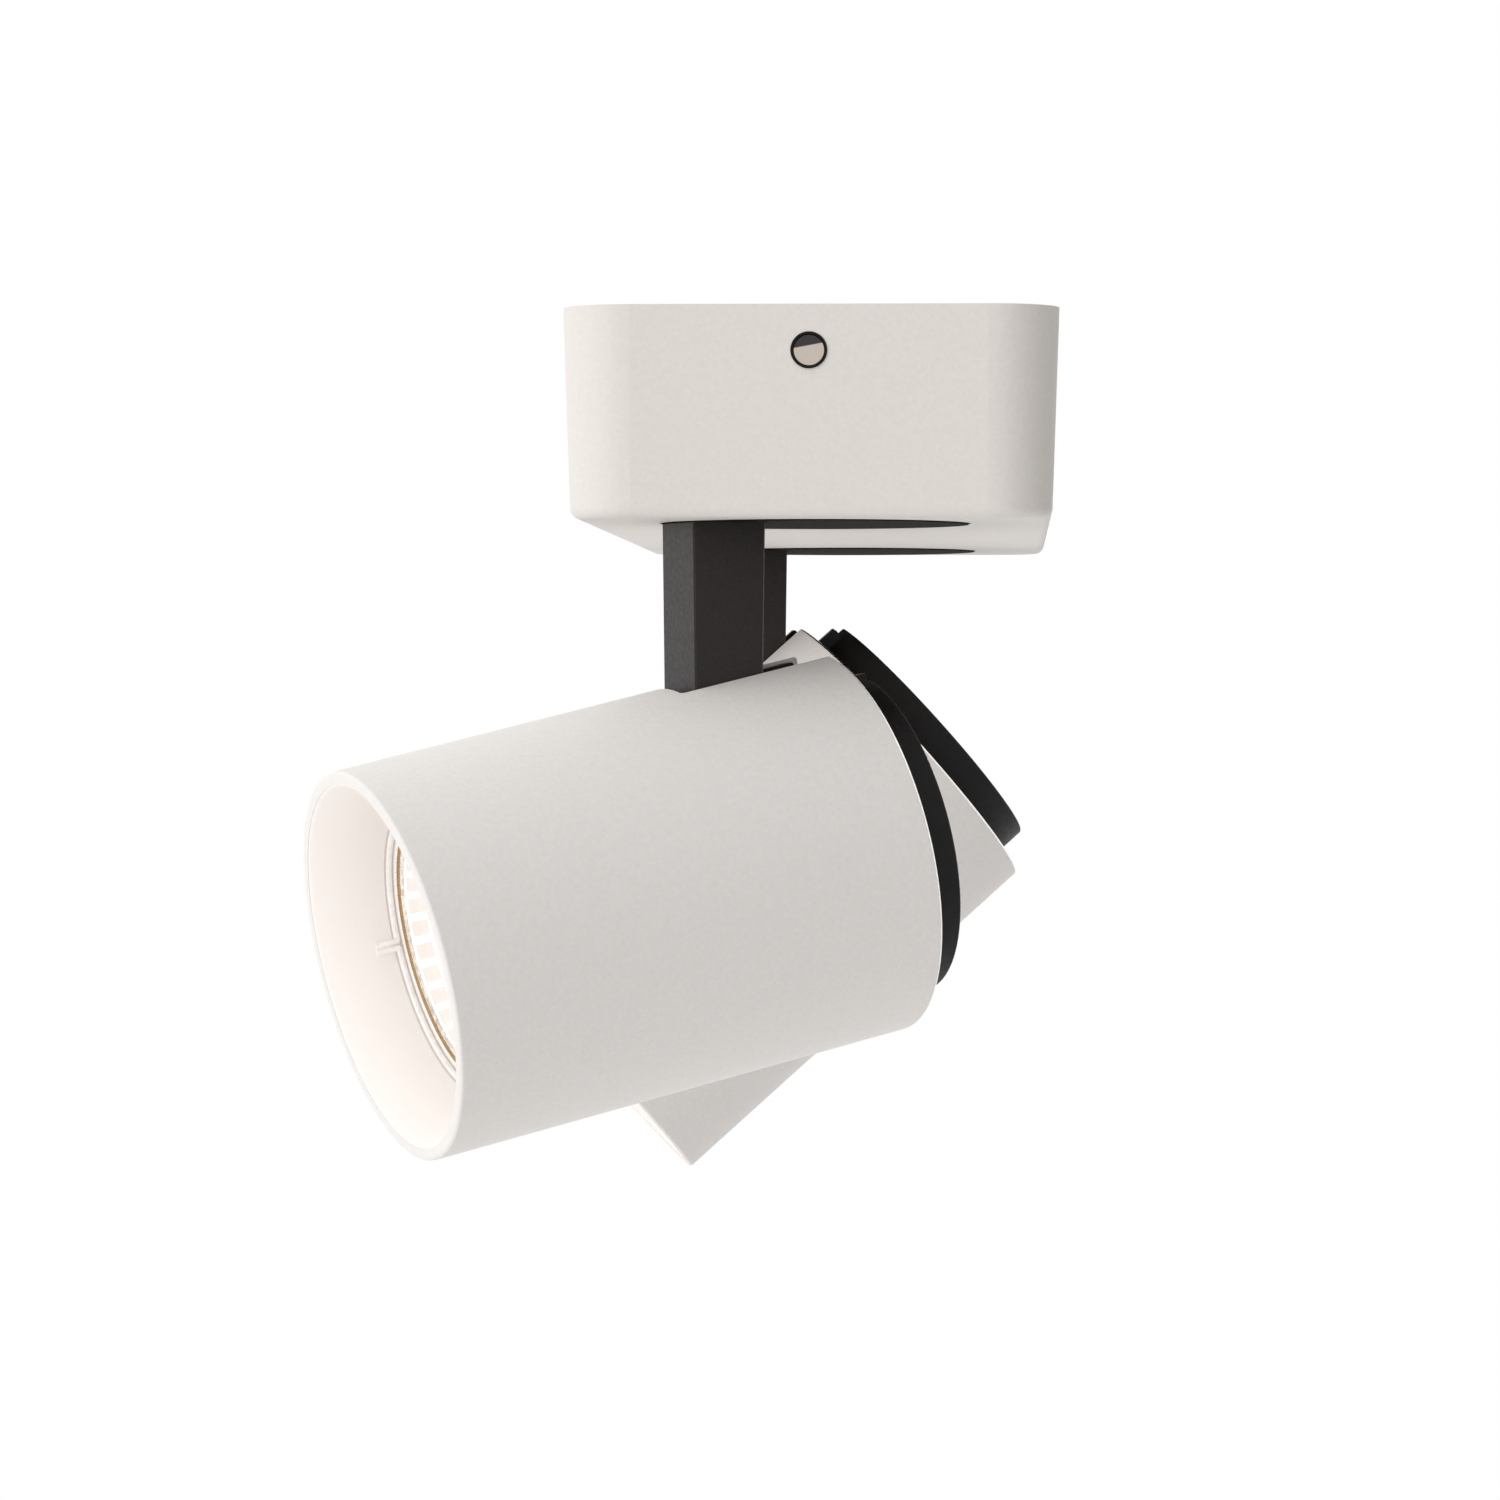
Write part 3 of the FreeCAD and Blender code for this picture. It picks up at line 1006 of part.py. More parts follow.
HEAD_PIECES = {
    "tube": tube,
    "front_baffle": front_baffle,
    "retaining_ring": retaining_ring,
    "lamp_reflector": lamp_reflector,
    "lamp_glass": lamp_glass,
    "lamp_burner": lamp_burner,
    "lamp_pins": lamp_pins,
    "lamp_holder": lamp_holder,
    "holder_bracket": holder_bracket,
    "holder_screws": holder_screws,
    "tilt_bracket": tilt_bracket,
    "pivot_pin": pivot_pin,
    "pivot_nut": pivot_nut,
    "tilt_washers": tilt_washers,
    "rear_cap": rear_cap,
    "cap_screws": cap_screws,
}


def all_pieces():
    pieces = base_pieces()
    for name, head in HEADS.items():
        for piece, build in SWIVEL_PIECES.items():
            pieces[piece + "_" + name] = moved(build(), swivel_place(head))
        pieces["slot_shield_" + name] = moved(slot_shield(head), swivel_place(head))
        for piece, build in HEAD_PIECES.items():
            pieces[piece + "_" + name] = moved(build(), head_place(head))
    return pieces


os.makedirs("parts", exist_ok=True)
for node, solid in all_pieces().items():
    solid.exportStep("parts/" + node + ".step")
    print(node, len(solid.Solids), "solid(s)", round(solid.Volume, 1), "mm3", "valid" if solid.isValid() else "INVALID")
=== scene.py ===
"""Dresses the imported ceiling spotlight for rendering.

Blender's own lengths are metres, in the model's frame.  Named sizes are in mm, unless a comment says
otherwise.  A head's own space has its x axis along the tube's axis, from the pivot towards the front.
"""

import json
import math

import bmesh
import bpy
from mathutils import Matrix, Vector


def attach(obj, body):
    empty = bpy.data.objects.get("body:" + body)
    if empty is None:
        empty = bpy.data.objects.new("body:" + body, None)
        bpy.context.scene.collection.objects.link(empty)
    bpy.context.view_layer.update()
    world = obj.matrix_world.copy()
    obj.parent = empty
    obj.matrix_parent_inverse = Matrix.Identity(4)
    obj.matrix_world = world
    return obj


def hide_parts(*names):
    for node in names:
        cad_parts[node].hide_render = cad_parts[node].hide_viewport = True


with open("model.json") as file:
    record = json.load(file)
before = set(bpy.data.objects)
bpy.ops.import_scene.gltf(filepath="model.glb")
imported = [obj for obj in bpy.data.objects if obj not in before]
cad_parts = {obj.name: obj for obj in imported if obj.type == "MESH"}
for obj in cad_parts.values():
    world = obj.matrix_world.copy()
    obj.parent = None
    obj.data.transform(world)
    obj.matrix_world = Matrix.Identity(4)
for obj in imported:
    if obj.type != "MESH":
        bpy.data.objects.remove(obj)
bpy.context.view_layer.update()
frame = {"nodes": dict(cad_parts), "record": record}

MM = 0.001
EVEN = (1, 1, 1)         # stretch of a noise that is the same in every direction
BRUSHED = (1, 1, 4)      # finer along z

# where the heads hang: place of the swivel along the base, then heading and tilt in degrees, at rest
SWIVEL_Y = 97.5
HEADS = {"a": (-SWIVEL_Y, 204.9, 13.3), "b": (SWIVEL_Y, 188.4, 41.8)}
ARM_OFFSET = 19.7        # arm centre ahead of the swivel axis
PIVOT_Z = -75.5

# tube, as the model has it
TUBE_RADIUS = 35.0
TUBE_WALL = 2.2
TUBE_LENGTH = 92.4
TUBE_BORE = TUBE_RADIUS - TUBE_WALL
PIVOT_BELOW_TOP = 10.8
AXIS_Z = PIVOT_BELOW_TOP - TUBE_RADIUS
REAR_X = -22.2
FRONT_X = REAR_X + TUBE_LENGTH
SLOT_HALF_WIDTH = 7.9

# throat, wire ring, lamp and glass, from the tube's front edge backwards, as the model has them
CONE_DEPTH = 12.012
RING_ROOM = 1.3
LAMP_RIM_THICKNESS = 3.8
SEAT_THICKNESS = 1.5
LAMP_TO_NECK = 29.014
LAMP_LENGTH = 46.292
GLASS_SETBACK = 0.7
GLASS_THICKNESS = 1.4
GLASS_GAP = 0.1          # around the glass
REFLECTOR_WALL = 1.3
THROAT_X = FRONT_X - CONE_DEPTH
LAMP_FACE_X = THROAT_X - RING_ROOM
LAMP_RIM_BACK_X = LAMP_FACE_X - LAMP_RIM_THICKNESS
SEAT_BACK_X = LAMP_RIM_BACK_X - SEAT_THICKNESS
NECK_X = LAMP_FACE_X - LAMP_TO_NECK
LAMP_BACK_X = LAMP_FACE_X - LAMP_LENGTH
GLASS_FRONT_X = LAMP_FACE_X - GLASS_SETBACK
GLASS_SEAT_X = GLASS_FRONT_X - GLASS_THICKNESS
LAMP_RADIUS = 25.2
GLASS_RADIUS = 24.3
NECK_RADIUS = 10.5
THROAT_RADIUS = 26.0

# the scene's cone; its front edge is given as (behind the tube's front edge, inside the tube's bore)
CONE_EDGE = ((1.2, 0.05), (1.0, -0.05), (0.15, -0.05), (0.15, 0.15), (0.3, 0.4), (0.7, 0.7))
CONE_GAP = 0.05          # to the bore and to the lamp's rim
THROAT_EDGE = 0.15
GROOVE_RADIUS = 26.25    # room of the wire ring
SEAT_GAP = 0.2           # between the seat's opening and the bowl

# the scene's lamp: shell, facets and bead
BOWL_RIM = 23.4
BOWL_WALL = 0.45
BOWL_CURVE = 0.96        # 1 would end the bowl at the neck's radius, 0 would leave it a straight tube
BOWL_STEPS = 12
GLASS_SEAT_RADIUS = GLASS_RADIUS + GLASS_GAP
FACET_MOUTH_RADIUS = GLASS_RADIUS - GLASS_GAP
FACETS_END_X = NECK_X + REFLECTOR_WALL
LAMP_EDGE = 0.3
NECK_EDGE = 0.6
FACET_ROWS = 6
FACETS_AROUND = 34
FACET_STEPS = 6
FACET_SEAM = 0.45
SEAM_RUN_IN = 2          # steps in which the seams deepen behind the glass
FACET_MIDDLE = 0.6       # share of a facet's width that shows darker
BEAD_RADIUS = 0.32
BEAD_AHEAD = 0.6 * BEAD_RADIUS
BEAD_INSET = 0.5 * BEAD_RADIUS
BEAD_SIDES = 10

# bright metal strip at the tube's rounded rear edge: a painted highlight
REAR_BEND = 0.6
REAR_SWEEP = (20, 50)    # first angle and spread of the highlighted part of the bend, in degrees
REAR_STEPS = 4
REAR_LIFT = 0.02
REAR_SKIN = 0.1
REAR_SLOT_GAP = 0.2      # degrees clear of the slot

# cover screws' trim: a black sleeve and a face on the head, both painted shade of the recess
BASE_HALF_LENGTH = 135.0
SCREW_DROP = 8.0         # below the ceiling face
SCREW_RECESS_RADIUS = 3.2
SHADE_SLEEVE_WALL = 0.42
SHADE_SLEEVE_FRONT = 0.05       # behind the end wall's face, as are the next two
SHADE_SLEEVE_BACK = 2.4
WASHER_FRONT = 0.6
WASHER_THICKNESS = 0.3
WASHER_GAP = 0.02
WASHER_EDGE = (0.12, 0.15)
SCREW_SEGMENTS = 64


# ---------------------------------------------------------------- material building
class Shader:
    """Principled material with helpers for procedural colour, roughness and bump."""

    def __init__(self, name, color, roughness, metallic=0.0):
        self.material = bpy.data.materials.new(name)
        self.material.use_nodes = True
        self.tree = self.material.node_tree
        self.shader = self.tree.nodes["Principled BSDF"]
        self.color = (*color, 1.0)
        self.set("Base Color", self.color)
        self.set("Roughness", roughness)
        self.set("Metallic", metallic)
        self.material.diffuse_color = self.color
        coordinates = self.tree.nodes.new("ShaderNodeTexCoord")
        self.place = coordinates.outputs["Object"]

    def set(self, socket, value):
        self.shader.inputs[socket].default_value = value

    def link(self, source, target):
        self.tree.links.new(source, target)

    def drive(self, socket, source):
        """Lets a node's output set one of the shader's sockets."""
        self.link(source, self.shader.inputs[socket])

    def noise(self, size_mm, detail=3.0, stretch=EVEN):
        """Noise with features of about that size."""
        node = self.tree.nodes.new("ShaderNodeTexNoise")
        node.inputs["Scale"].default_value = 1 / MM / size_mm
        node.inputs["Detail"].default_value = detail
        if stretch == EVEN:
            self.link(self.place, node.inputs["Vector"])
        else:
            mapping = self.tree.nodes.new("ShaderNodeMapping")
            mapping.inputs["Scale"].default_value = stretch
            self.link(self.place, mapping.inputs["Vector"])
            self.link(mapping.outputs["Vector"], node.inputs["Vector"])
        return node.outputs["Fac"]

    def along(self, direction, start_mm, end_mm):
        """Share of the way between two places along a direction of the piece's own space."""
        reach = self.tree.nodes.new("ShaderNodeVectorMath")
        reach.operation = "DOT_PRODUCT"
        reach.inputs[1].default_value = direction
        self.link(self.place, reach.inputs[0])
        share = self.tree.nodes.new("ShaderNodeMapRange")
        share.inputs["From Min"].default_value = start_mm * MM
        share.inputs["From Max"].default_value = end_mm * MM
        self.link(reach.outputs["Value"], share.inputs["Value"])
        return share.outputs["Result"]

    def ramp(self, factor, low, high, start=0.35, end=0.65):
        """Colour between low and high as the factor goes from start to end."""
        node = self.tree.nodes.new("ShaderNodeValToRGB")
        for element, position, color in zip(node.color_ramp.elements, (start, end), (low, high)):
            element.position = position
            element.color = (*color, 1.0)
        self.link(factor, node.inputs["Fac"])
        return node.outputs["Color"]

    def mottle(self, size_mm, amount, detail=3.0):
        """Lets the colour wander by a small share either way."""
        base = self.color[:3]
        low = [c * (1 - amount) for c in base]
        high = [min(1.0, c * (1 + amount)) for c in base]
        self.drive("Base Color", self.ramp(self.noise(size_mm, detail), low, high))

    def rough(self, size_mm, low, high, stretch=EVEN):
        """Lets the roughness wander between two values."""
        wander = self.noise(size_mm, stretch=stretch)
        self.drive("Roughness", self.ramp(wander, [low] * 3, [high] * 3, start=0.3, end=0.7))

    def bump(self, *layers, stretch=EVEN):
        """Layers of (feature size in mm, depth in mm)."""
        normal = None
        for size_mm, depth_mm in layers:
            node = self.tree.nodes.new("ShaderNodeBump")
            node.inputs["Strength"].default_value = 1.0
            node.inputs["Distance"].default_value = depth_mm * MM
            self.link(self.noise(size_mm, 2.0, stretch), node.inputs["Height"])
            if normal is not None:
                self.link(normal, node.inputs["Normal"])
            normal = node.outputs["Normal"]
        self.drive("Normal", normal)


def powder_coat(name, color):
    """Fine-grained matt powder coat with faint cloudiness."""
    paint = Shader(name, color, 0.55)
    paint.set("Specular IOR Level", 0.35)
    paint.mottle(0.9, amount=0.018, detail=4.0)
    paint.rough(1.6, low=0.50, high=0.62)
    paint.bump((0.55, 0.035), (2.6, 0.05))
    return paint.material


def anodised(name, color, roughness, specular):
    """Dark metal finish with a fine grain."""
    metal = Shader(name, color, roughness)
    metal.set("Specular IOR Level", specular)
    metal.mottle(0.5, amount=0.10, detail=5.0)
    metal.rough(0.8, low=roughness - 0.06, high=roughness + 0.08)
    metal.bump((0.22, 0.012))
    return metal.material


def moulded(name, color, roughness, grain=(0.35, 0.012), specular=0.5):
    """Plastic, rubber or ceramic; grain is the size and depth of its texture in mm."""
    plastic = Shader(name, color, roughness)
    plastic.set("Specular IOR Level", specular)
    plastic.mottle(2.2, amount=0.05)
    plastic.rough(1.4, low=roughness - 0.05, high=roughness + 0.07)
    plastic.bump(grain)
    return plastic.material


def plated(name, color, roughness, stretch=EVEN, metallic=1.0, lamplight=0.0):
    """Bright metal; lamplight is the warm light that a piece beside the lit lamp carries."""
    metal = Shader(name, color, roughness, metallic)
    metal.set("Emission Color", (1.0, 0.96, 0.92, 1.0))
    metal.set("Emission Strength", lamplight)
    metal.mottle(1.2, amount=0.06)
    metal.rough(0.6, low=roughness - 0.07, high=roughness + 0.12, stretch=stretch)
    metal.bump((0.3, 0.006), stretch=stretch)
    return metal.material


def clear_glass(name, color, roughness):
    """Clear glass with a faint waviness."""
    glass = Shader(name, color, roughness)
    glass.set("Transmission Weight", 1.0)
    glass.set("IOR", 1.45)
    glass.bump((3.5, 0.01))
    return glass.material


def cone_satin(name, inner, outer, place):
    """Smooth satin white of a head's cone; painted lamplight makes it lighter towards the tube's rim."""
    satin = Shader(name, inner, 0.45)
    satin.set("Specular IOR Level", 0.3)
    axis = place.to_3x3() @ Vector((1, 0, 0))
    middle = place.translation.dot(axis) / MM
    share = satin.along(axis, middle + THROAT_X, middle + FRONT_X)
    # the colour ramp paints the lamp's light and the wire ring's shade on the cone
    satin.drive("Base Color", satin.ramp(share, inner, outer, start=0.0, end=1.0))
    satin.bump((0.4, 0.003))
    return satin.material


def screw_with_painted_shade(name, silver, shaded, height_mm, slope, blur_mm=0.08):
    """Screw face whose upper part carries a painted shade of its hole.

    The edge of the painted shade is slanted, and passes height_mm above the screw's middle.
    """
    face = Shader(name, silver, 0.3, 1.0)
    edge = height_mm - SCREW_DROP
    share = face.along((-slope, 0, 1), edge - blur_mm, edge + blur_mm)
    face.drive("Base Color", face.ramp(share, silver, shaded, start=0.0, end=1.0))
    face.rough(0.7, low=0.24, high=0.40)
    face.bump((0.5, 0.01))
    return face.material


def glowing(name, color, strength, low, high):
    """Lit surface: the emission wanders a little between two warm tints."""
    lit = Shader(name, color, 0.2)
    lit.set("Emission Strength", strength)
    lit.drive("Emission Color", lit.ramp(lit.noise(1.8), low, high))
    lit.bump((1.2, 0.02))
    return lit.material


# the record's material slots
MATERIALS = {
    "cover_paint": powder_coat("cover_powder_coat", (0.735, 0.700, 0.668)),
    "tube_paint": powder_coat("tube_powder_coat", (0.800, 0.775, 0.755)),
    "baffle_white": moulded("baffle_satin_white", (0.80, 0.755, 0.715), 0.42, grain=(0.5, 0.008)),
    "dark_arm": anodised("arm_black_brown", (0.022, 0.018, 0.017), 0.40, specular=0.20),
    "disc_black": anodised("disc_black", (0.012, 0.010, 0.009), 0.80, specular=0.04),
    "cap_black": moulded("cap_satin_black", (0.010, 0.009, 0.009), 0.5, grain=(0.3, 0.010), specular=0.16),
    "shield_black": moulded("shield_matt_black", (0.020, 0.014, 0.012), 0.6, specular=0.12),
    "bright_screw": plated("screw_nickel", (0.72, 0.70, 0.67), 0.22),
    "plated_steel": plated("zinc_plated_steel", (0.60, 0.60, 0.61), 0.34, stretch=BRUSHED),
    "spring_steel": plated("bright_spring_wire", (0.74, 0.72, 0.70), 0.35, metallic=0.35, lamplight=0.20),
    "brass_screw": plated("plain_brass", (0.72, 0.53, 0.22), 0.28),
    "terminal_plastic": moulded("terminal_natural", (0.74, 0.72, 0.66), 0.45),
    "clamp_plastic": moulded("clamp_white", (0.78, 0.78, 0.76), 0.45),
    "black_rubber": moulded("grommet_rubber", (0.022, 0.022, 0.023), 0.75, grain=(0.6, 0.03)),
    "slip_plastic": moulded("slip_white", (0.84, 0.84, 0.82), 0.35),
    "lead_insulation": moulded("lead_silicone", (0.70, 0.69, 0.66), 0.5, grain=(0.8, 0.02)),
    "ceramic": moulded("holder_ceramic", (0.80, 0.77, 0.70), 0.25, grain=(1.5, 0.02)),
    "lamp_glass": clear_glass("lamp_front_glass", (0.99, 0.98, 0.96), 0.01),
    "burner_glass": glowing("burner_glow", (1.0, 0.96, 0.88), 2.5, (1.0, 0.90, 0.74), (1.0, 0.95, 0.85)),
    "reflector_mirror": plated("reflector_coating", (0.70, 0.67, 0.64), 0.30, metallic=0.45, lamplight=0.30),
}

# finishes of the scene's own pieces
LIT_SEAMS = glowing("reflector_lit", (0.5, 0.5, 0.49), 1.1, (1.0, 0.97, 0.94), (1.0, 0.99, 0.97))
LIT_FACETS = glowing("reflector_facet", (0.12, 0.115, 0.11), 0.88, (1.0, 0.92, 0.87), (1.0, 0.96, 0.92))
RIM_BRONZE = plated("lamp_rim_bronze", (0.42, 0.27, 0.13), 0.3)
CONE_PAINTED_LAMPLIGHT = ((0.845, 0.795, 0.762), (0.94, 0.888, 0.855))    # painted shade by the lamp, painted lamplight at the tube's rim
# bright metal of the tube's rear edge: painted highlight
REAR_HIGHLIGHT_METAL = plated("rear_edge_painted_highlight", (0.90, 0.89, 0.87), 0.25)
# black of the sleeve in each screw's recess: painted shade of the deep recess
RECESS_SHADE_BLACK = moulded("screw_recess_painted_shade", (0.012, 0.011, 0.010), 0.6, specular=0.1)
# silver screw face with a painted shade on its upper part, the shade of its hole
SCREW_FACE = screw_with_painted_shade(
    "screw_face", (0.56, 0.49, 0.43), (0.055, 0.050, 0.052), height_mm=0.83, slope=0.184)


# ---------------------------------------------------------------- mesh building
SHARP_EDGE = 28          # degrees


def head_matrix(head):
    """From a head's own space to the model's, at rest."""
    y, heading, tilt = HEADS[head]
    swivel = Matrix.Translation((0, y * MM, 0)) @ Matrix.Rotation(math.radians(heading), 4, "Z")
    pivot = swivel @ Matrix.Translation((ARM_OFFSET * MM, 0, PIVOT_Z * MM))
    tilted = pivot @ Matrix.Rotation(math.radians(tilt), 4, "Y")
    return tilted @ Matrix.Translation((0, 0, AXIS_Z * MM))


def finish_piece(name, mesh, materials, place, body):
    """Shades a mesh, puts it in its place and lets it ride on its body."""
    for polygon in mesh.polygons:
        polygon.use_smooth = True
    mesh.set_sharp_from_angle(angle=math.radians(SHARP_EDGE))
    for material in materials:
        mesh.materials.append(material)
    mesh.transform(place)
    piece = bpy.data.objects.new(name, mesh)
    bpy.context.scene.collection.objects.link(piece)
    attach(piece, body)
    return piece


def head_piece(name, mesh, materials, head):
    """Piece built in a head's own space."""
    return finish_piece(name + "_" + head, mesh, materials, head_matrix(head), "head_" + head)


def around_axis(x, radius, angle):
    """Point of a head's or a screw's own space, about its x axis."""
    return x, radius * math.cos(angle), radius * math.sin(angle)


def skin(name, rings, segments, closed=False, capped=False, second_material=None):
    """Mesh through rings of points.

    A ring of one point closes the end.  closed joins the last ring to the first, and capped fills the two
    ends of open rings.  second_material(i, k) says whether the face there takes the piece's second material.
    """
    build = bmesh.new()
    loops = [[build.verts.new(Vector(point) * MM) for point in ring] for ring in rings]
    pairs = list(zip(loops, loops[1:]))
    if closed:
        pairs.append((loops[-1], loops[0]))
    for i, (first, second) in enumerate(pairs):
        for k in range(segments):
            steps = ((first, k), (first, k + 1), (second, k + 1), (second, k))
            corners = list(dict.fromkeys(loop[step % len(loop)] for loop, step in steps))
            if len(corners) < 3:
                continue
            face = build.faces.new(corners)
            if second_material:
                face.material_index = int(second_material(i + 0.5, k + 0.5))
    if capped:
        for end in (0, -1):
            build.faces.new([loop[end] for loop in loops])
    bmesh.ops.recalc_face_normals(build, faces=build.faces)
    mesh = bpy.data.meshes.new(name)
    build.to_mesh(mesh)
    build.free()
    return mesh


def turned(name, profile, segments=192, closed=True, gap=0.0):
    """Mesh turned about the tube's axis from (x, radius) points.

    A radius of 0 gives one point.  gap is half the angle left open at the top, in degrees.
    """
    opening = math.radians(gap)
    count = segments + 1 if gap else segments
    turns = [math.pi / 2 + opening + 2 * (math.pi - opening) * n / segments for n in range(count)]
    rings = []
    for x, radius in profile:
        rings.append([around_axis(x, radius, turn) for turn in turns] if radius else [(x, 0, 0)])
    return skin(name, rings, segments, closed=closed, capped=bool(gap))


# ---------------------------------------------------------------- lamp
def bowl_radius(share):
    """Outside of the bowl at a share of the way from its rim to the neck."""
    return NECK_RADIUS + (BOWL_RIM - NECK_RADIUS) * math.sqrt(1 - share * share * BOWL_CURVE)


def facet_base_radius(x):
    """Inside of the bowl before the facets are pressed in."""
    if x < LAMP_RIM_BACK_X:
        return bowl_radius((LAMP_RIM_BACK_X - x) / (LAMP_RIM_BACK_X - NECK_X)) - BOWL_WALL
    inner_rim = BOWL_RIM - BOWL_WALL
    share = (x - LAMP_RIM_BACK_X) / (GLASS_SEAT_X - LAMP_RIM_BACK_X)
    return inner_rim + share * (FACET_MOUTH_RADIUS - inner_rim)


def place_in_facet(i, k):
    """Shares across a facet, along the bowl and around it; every second row is shifted by half."""
    row = min(int(i // FACET_STEPS), FACET_ROWS - 1)
    return i / FACET_STEPS - row, (k / FACET_STEPS + 0.5 * (row % 2)) % 1.0


def pillow(i, k):
    """Height of a facet's dome, 0 on its seams and 1 in its middle."""
    along, turn = place_in_facet(i, k)
    return math.sqrt(abs(math.sin(math.pi * along) * math.sin(math.pi * turn)))


def in_facet_middle(i, k):
    return all(abs(share - 0.5) < FACET_MIDDLE / 2 for share in place_in_facet(i, k))


def faceted_bowl(head):
    """Inside of the reflector: staggered rings of pillow-shaped facets."""
    steps_along = FACET_ROWS * FACET_STEPS
    steps_around = FACETS_AROUND * FACET_STEPS
    rings = []
    for i in range(steps_along + 1):
        x = GLASS_SEAT_X + (FACETS_END_X - GLASS_SEAT_X) * i / steps_along
        seam = FACET_SEAM * min(1.0, i / SEAM_RUN_IN)
        ring = []
        for k in range(steps_around):
            radius = facet_base_radius(x) - seam * (1 - pillow(i, k))
            ring.append(around_axis(x, radius, 2 * math.pi * k / steps_around))
        rings.append(ring)
    mesh = skin("lamp_bowl", rings, steps_around, second_material=in_facet_middle)
    head_piece("lamp_bowl", mesh, [LIT_SEAMS, LIT_FACETS], head)


def reflector_shell(head):
    """Outside of the lamp: rim, curved back and neck."""
    profile = [
        (GLASS_SEAT_X, BOWL_RIM - BOWL_WALL),
        (GLASS_SEAT_X, GLASS_SEAT_RADIUS),
        (LAMP_FACE_X - LAMP_EDGE, GLASS_SEAT_RADIUS),
        (LAMP_FACE_X, GLASS_RADIUS + LAMP_EDGE),
        (LAMP_FACE_X, LAMP_RADIUS - LAMP_EDGE),
        (LAMP_FACE_X - LAMP_EDGE, LAMP_RADIUS),
        (LAMP_RIM_BACK_X + LAMP_EDGE, LAMP_RADIUS),
        (LAMP_RIM_BACK_X, LAMP_RADIUS - LAMP_EDGE),
    ]
    for n in range(BOWL_STEPS + 1):
        share = n / BOWL_STEPS
        profile.append((LAMP_RIM_BACK_X + (NECK_X - LAMP_RIM_BACK_X) * share, bowl_radius(share)))
    profile += [
        (NECK_X - NECK_EDGE, NECK_RADIUS),
        (LAMP_BACK_X + NECK_EDGE, NECK_RADIUS),
        (LAMP_BACK_X, NECK_RADIUS - NECK_EDGE),
        (LAMP_BACK_X, 0.0),
    ]
    mesh = turned("lamp_shell", profile, closed=False)
    piece = head_piece("lamp_shell", mesh, [MATERIALS["reflector_mirror"]], head)
    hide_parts("lamp_reflector_" + head)


def bronze_line(head):
    """Thin warm bead where the front glass meets the lamp's rim."""
    profile = []
    for n in range(BEAD_SIDES):
        turn = 2 * math.pi * n / BEAD_SIDES
        x = GLASS_FRONT_X + BEAD_AHEAD + BEAD_RADIUS * math.cos(turn)
        profile.append((x, GLASS_RADIUS - BEAD_INSET + BEAD_RADIUS * math.sin(turn)))
    head_piece("glass_bead", turned("glass_bead", profile), [RIM_BRONZE], head)


# ---------------------------------------------------------------- cone, tube edge and screws
def front_cone(head):
    """White cone inside the front of the tube; its rounded edge closes up to the tube's bore."""
    seat = LAMP_RADIUS + CONE_GAP
    seat_opening = BOWL_RIM + SEAT_GAP
    profile = [(FRONT_X - behind, TUBE_BORE - inside) for behind, inside in CONE_EDGE]
    profile += [
        (THROAT_X + THROAT_EDGE, THROAT_RADIUS + CONE_GAP),
        (THROAT_X, THROAT_RADIUS + THROAT_EDGE),
        (THROAT_X, GROOVE_RADIUS),
        (LAMP_FACE_X, GROOVE_RADIUS),
        (LAMP_FACE_X, seat),
        (LAMP_RIM_BACK_X, seat),
        (LAMP_RIM_BACK_X, seat_opening),
        (SEAT_BACK_X, seat_opening),
        (SEAT_BACK_X, TUBE_BORE - CONE_GAP),
    ]
    satin = cone_satin("cone_satin_white_" + head, *CONE_PAINTED_LAMPLIGHT, head_matrix(head))
    piece = head_piece("front_cone", turned("front_cone", profile), [satin], head)
    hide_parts("front_baffle_" + head)


def rear_edge(head):
    """Bright metal strip that paints a highlight on the tube's rounded rear edge, open at the slot."""
    first, spread = REAR_SWEEP
    outer = []
    for n in range(REAR_STEPS + 1):
        turn = math.radians(first + spread * n / REAR_STEPS)
        x = REAR_X + REAR_BEND * (1 - math.sin(turn)) - REAR_LIFT
        outer.append((x, TUBE_RADIUS - REAR_BEND * (1 - math.cos(turn)) + REAR_LIFT))
    under = [(x + REAR_SKIN, radius - REAR_SKIN) for x, radius in reversed(outer)]
    gap = math.degrees(math.asin(SLOT_HALF_WIDTH / TUBE_RADIUS)) + REAR_SLOT_GAP
    head_piece("rear_edge", turned("rear_edge", outer + under, gap=gap), [REAR_HIGHLIGHT_METAL], head)


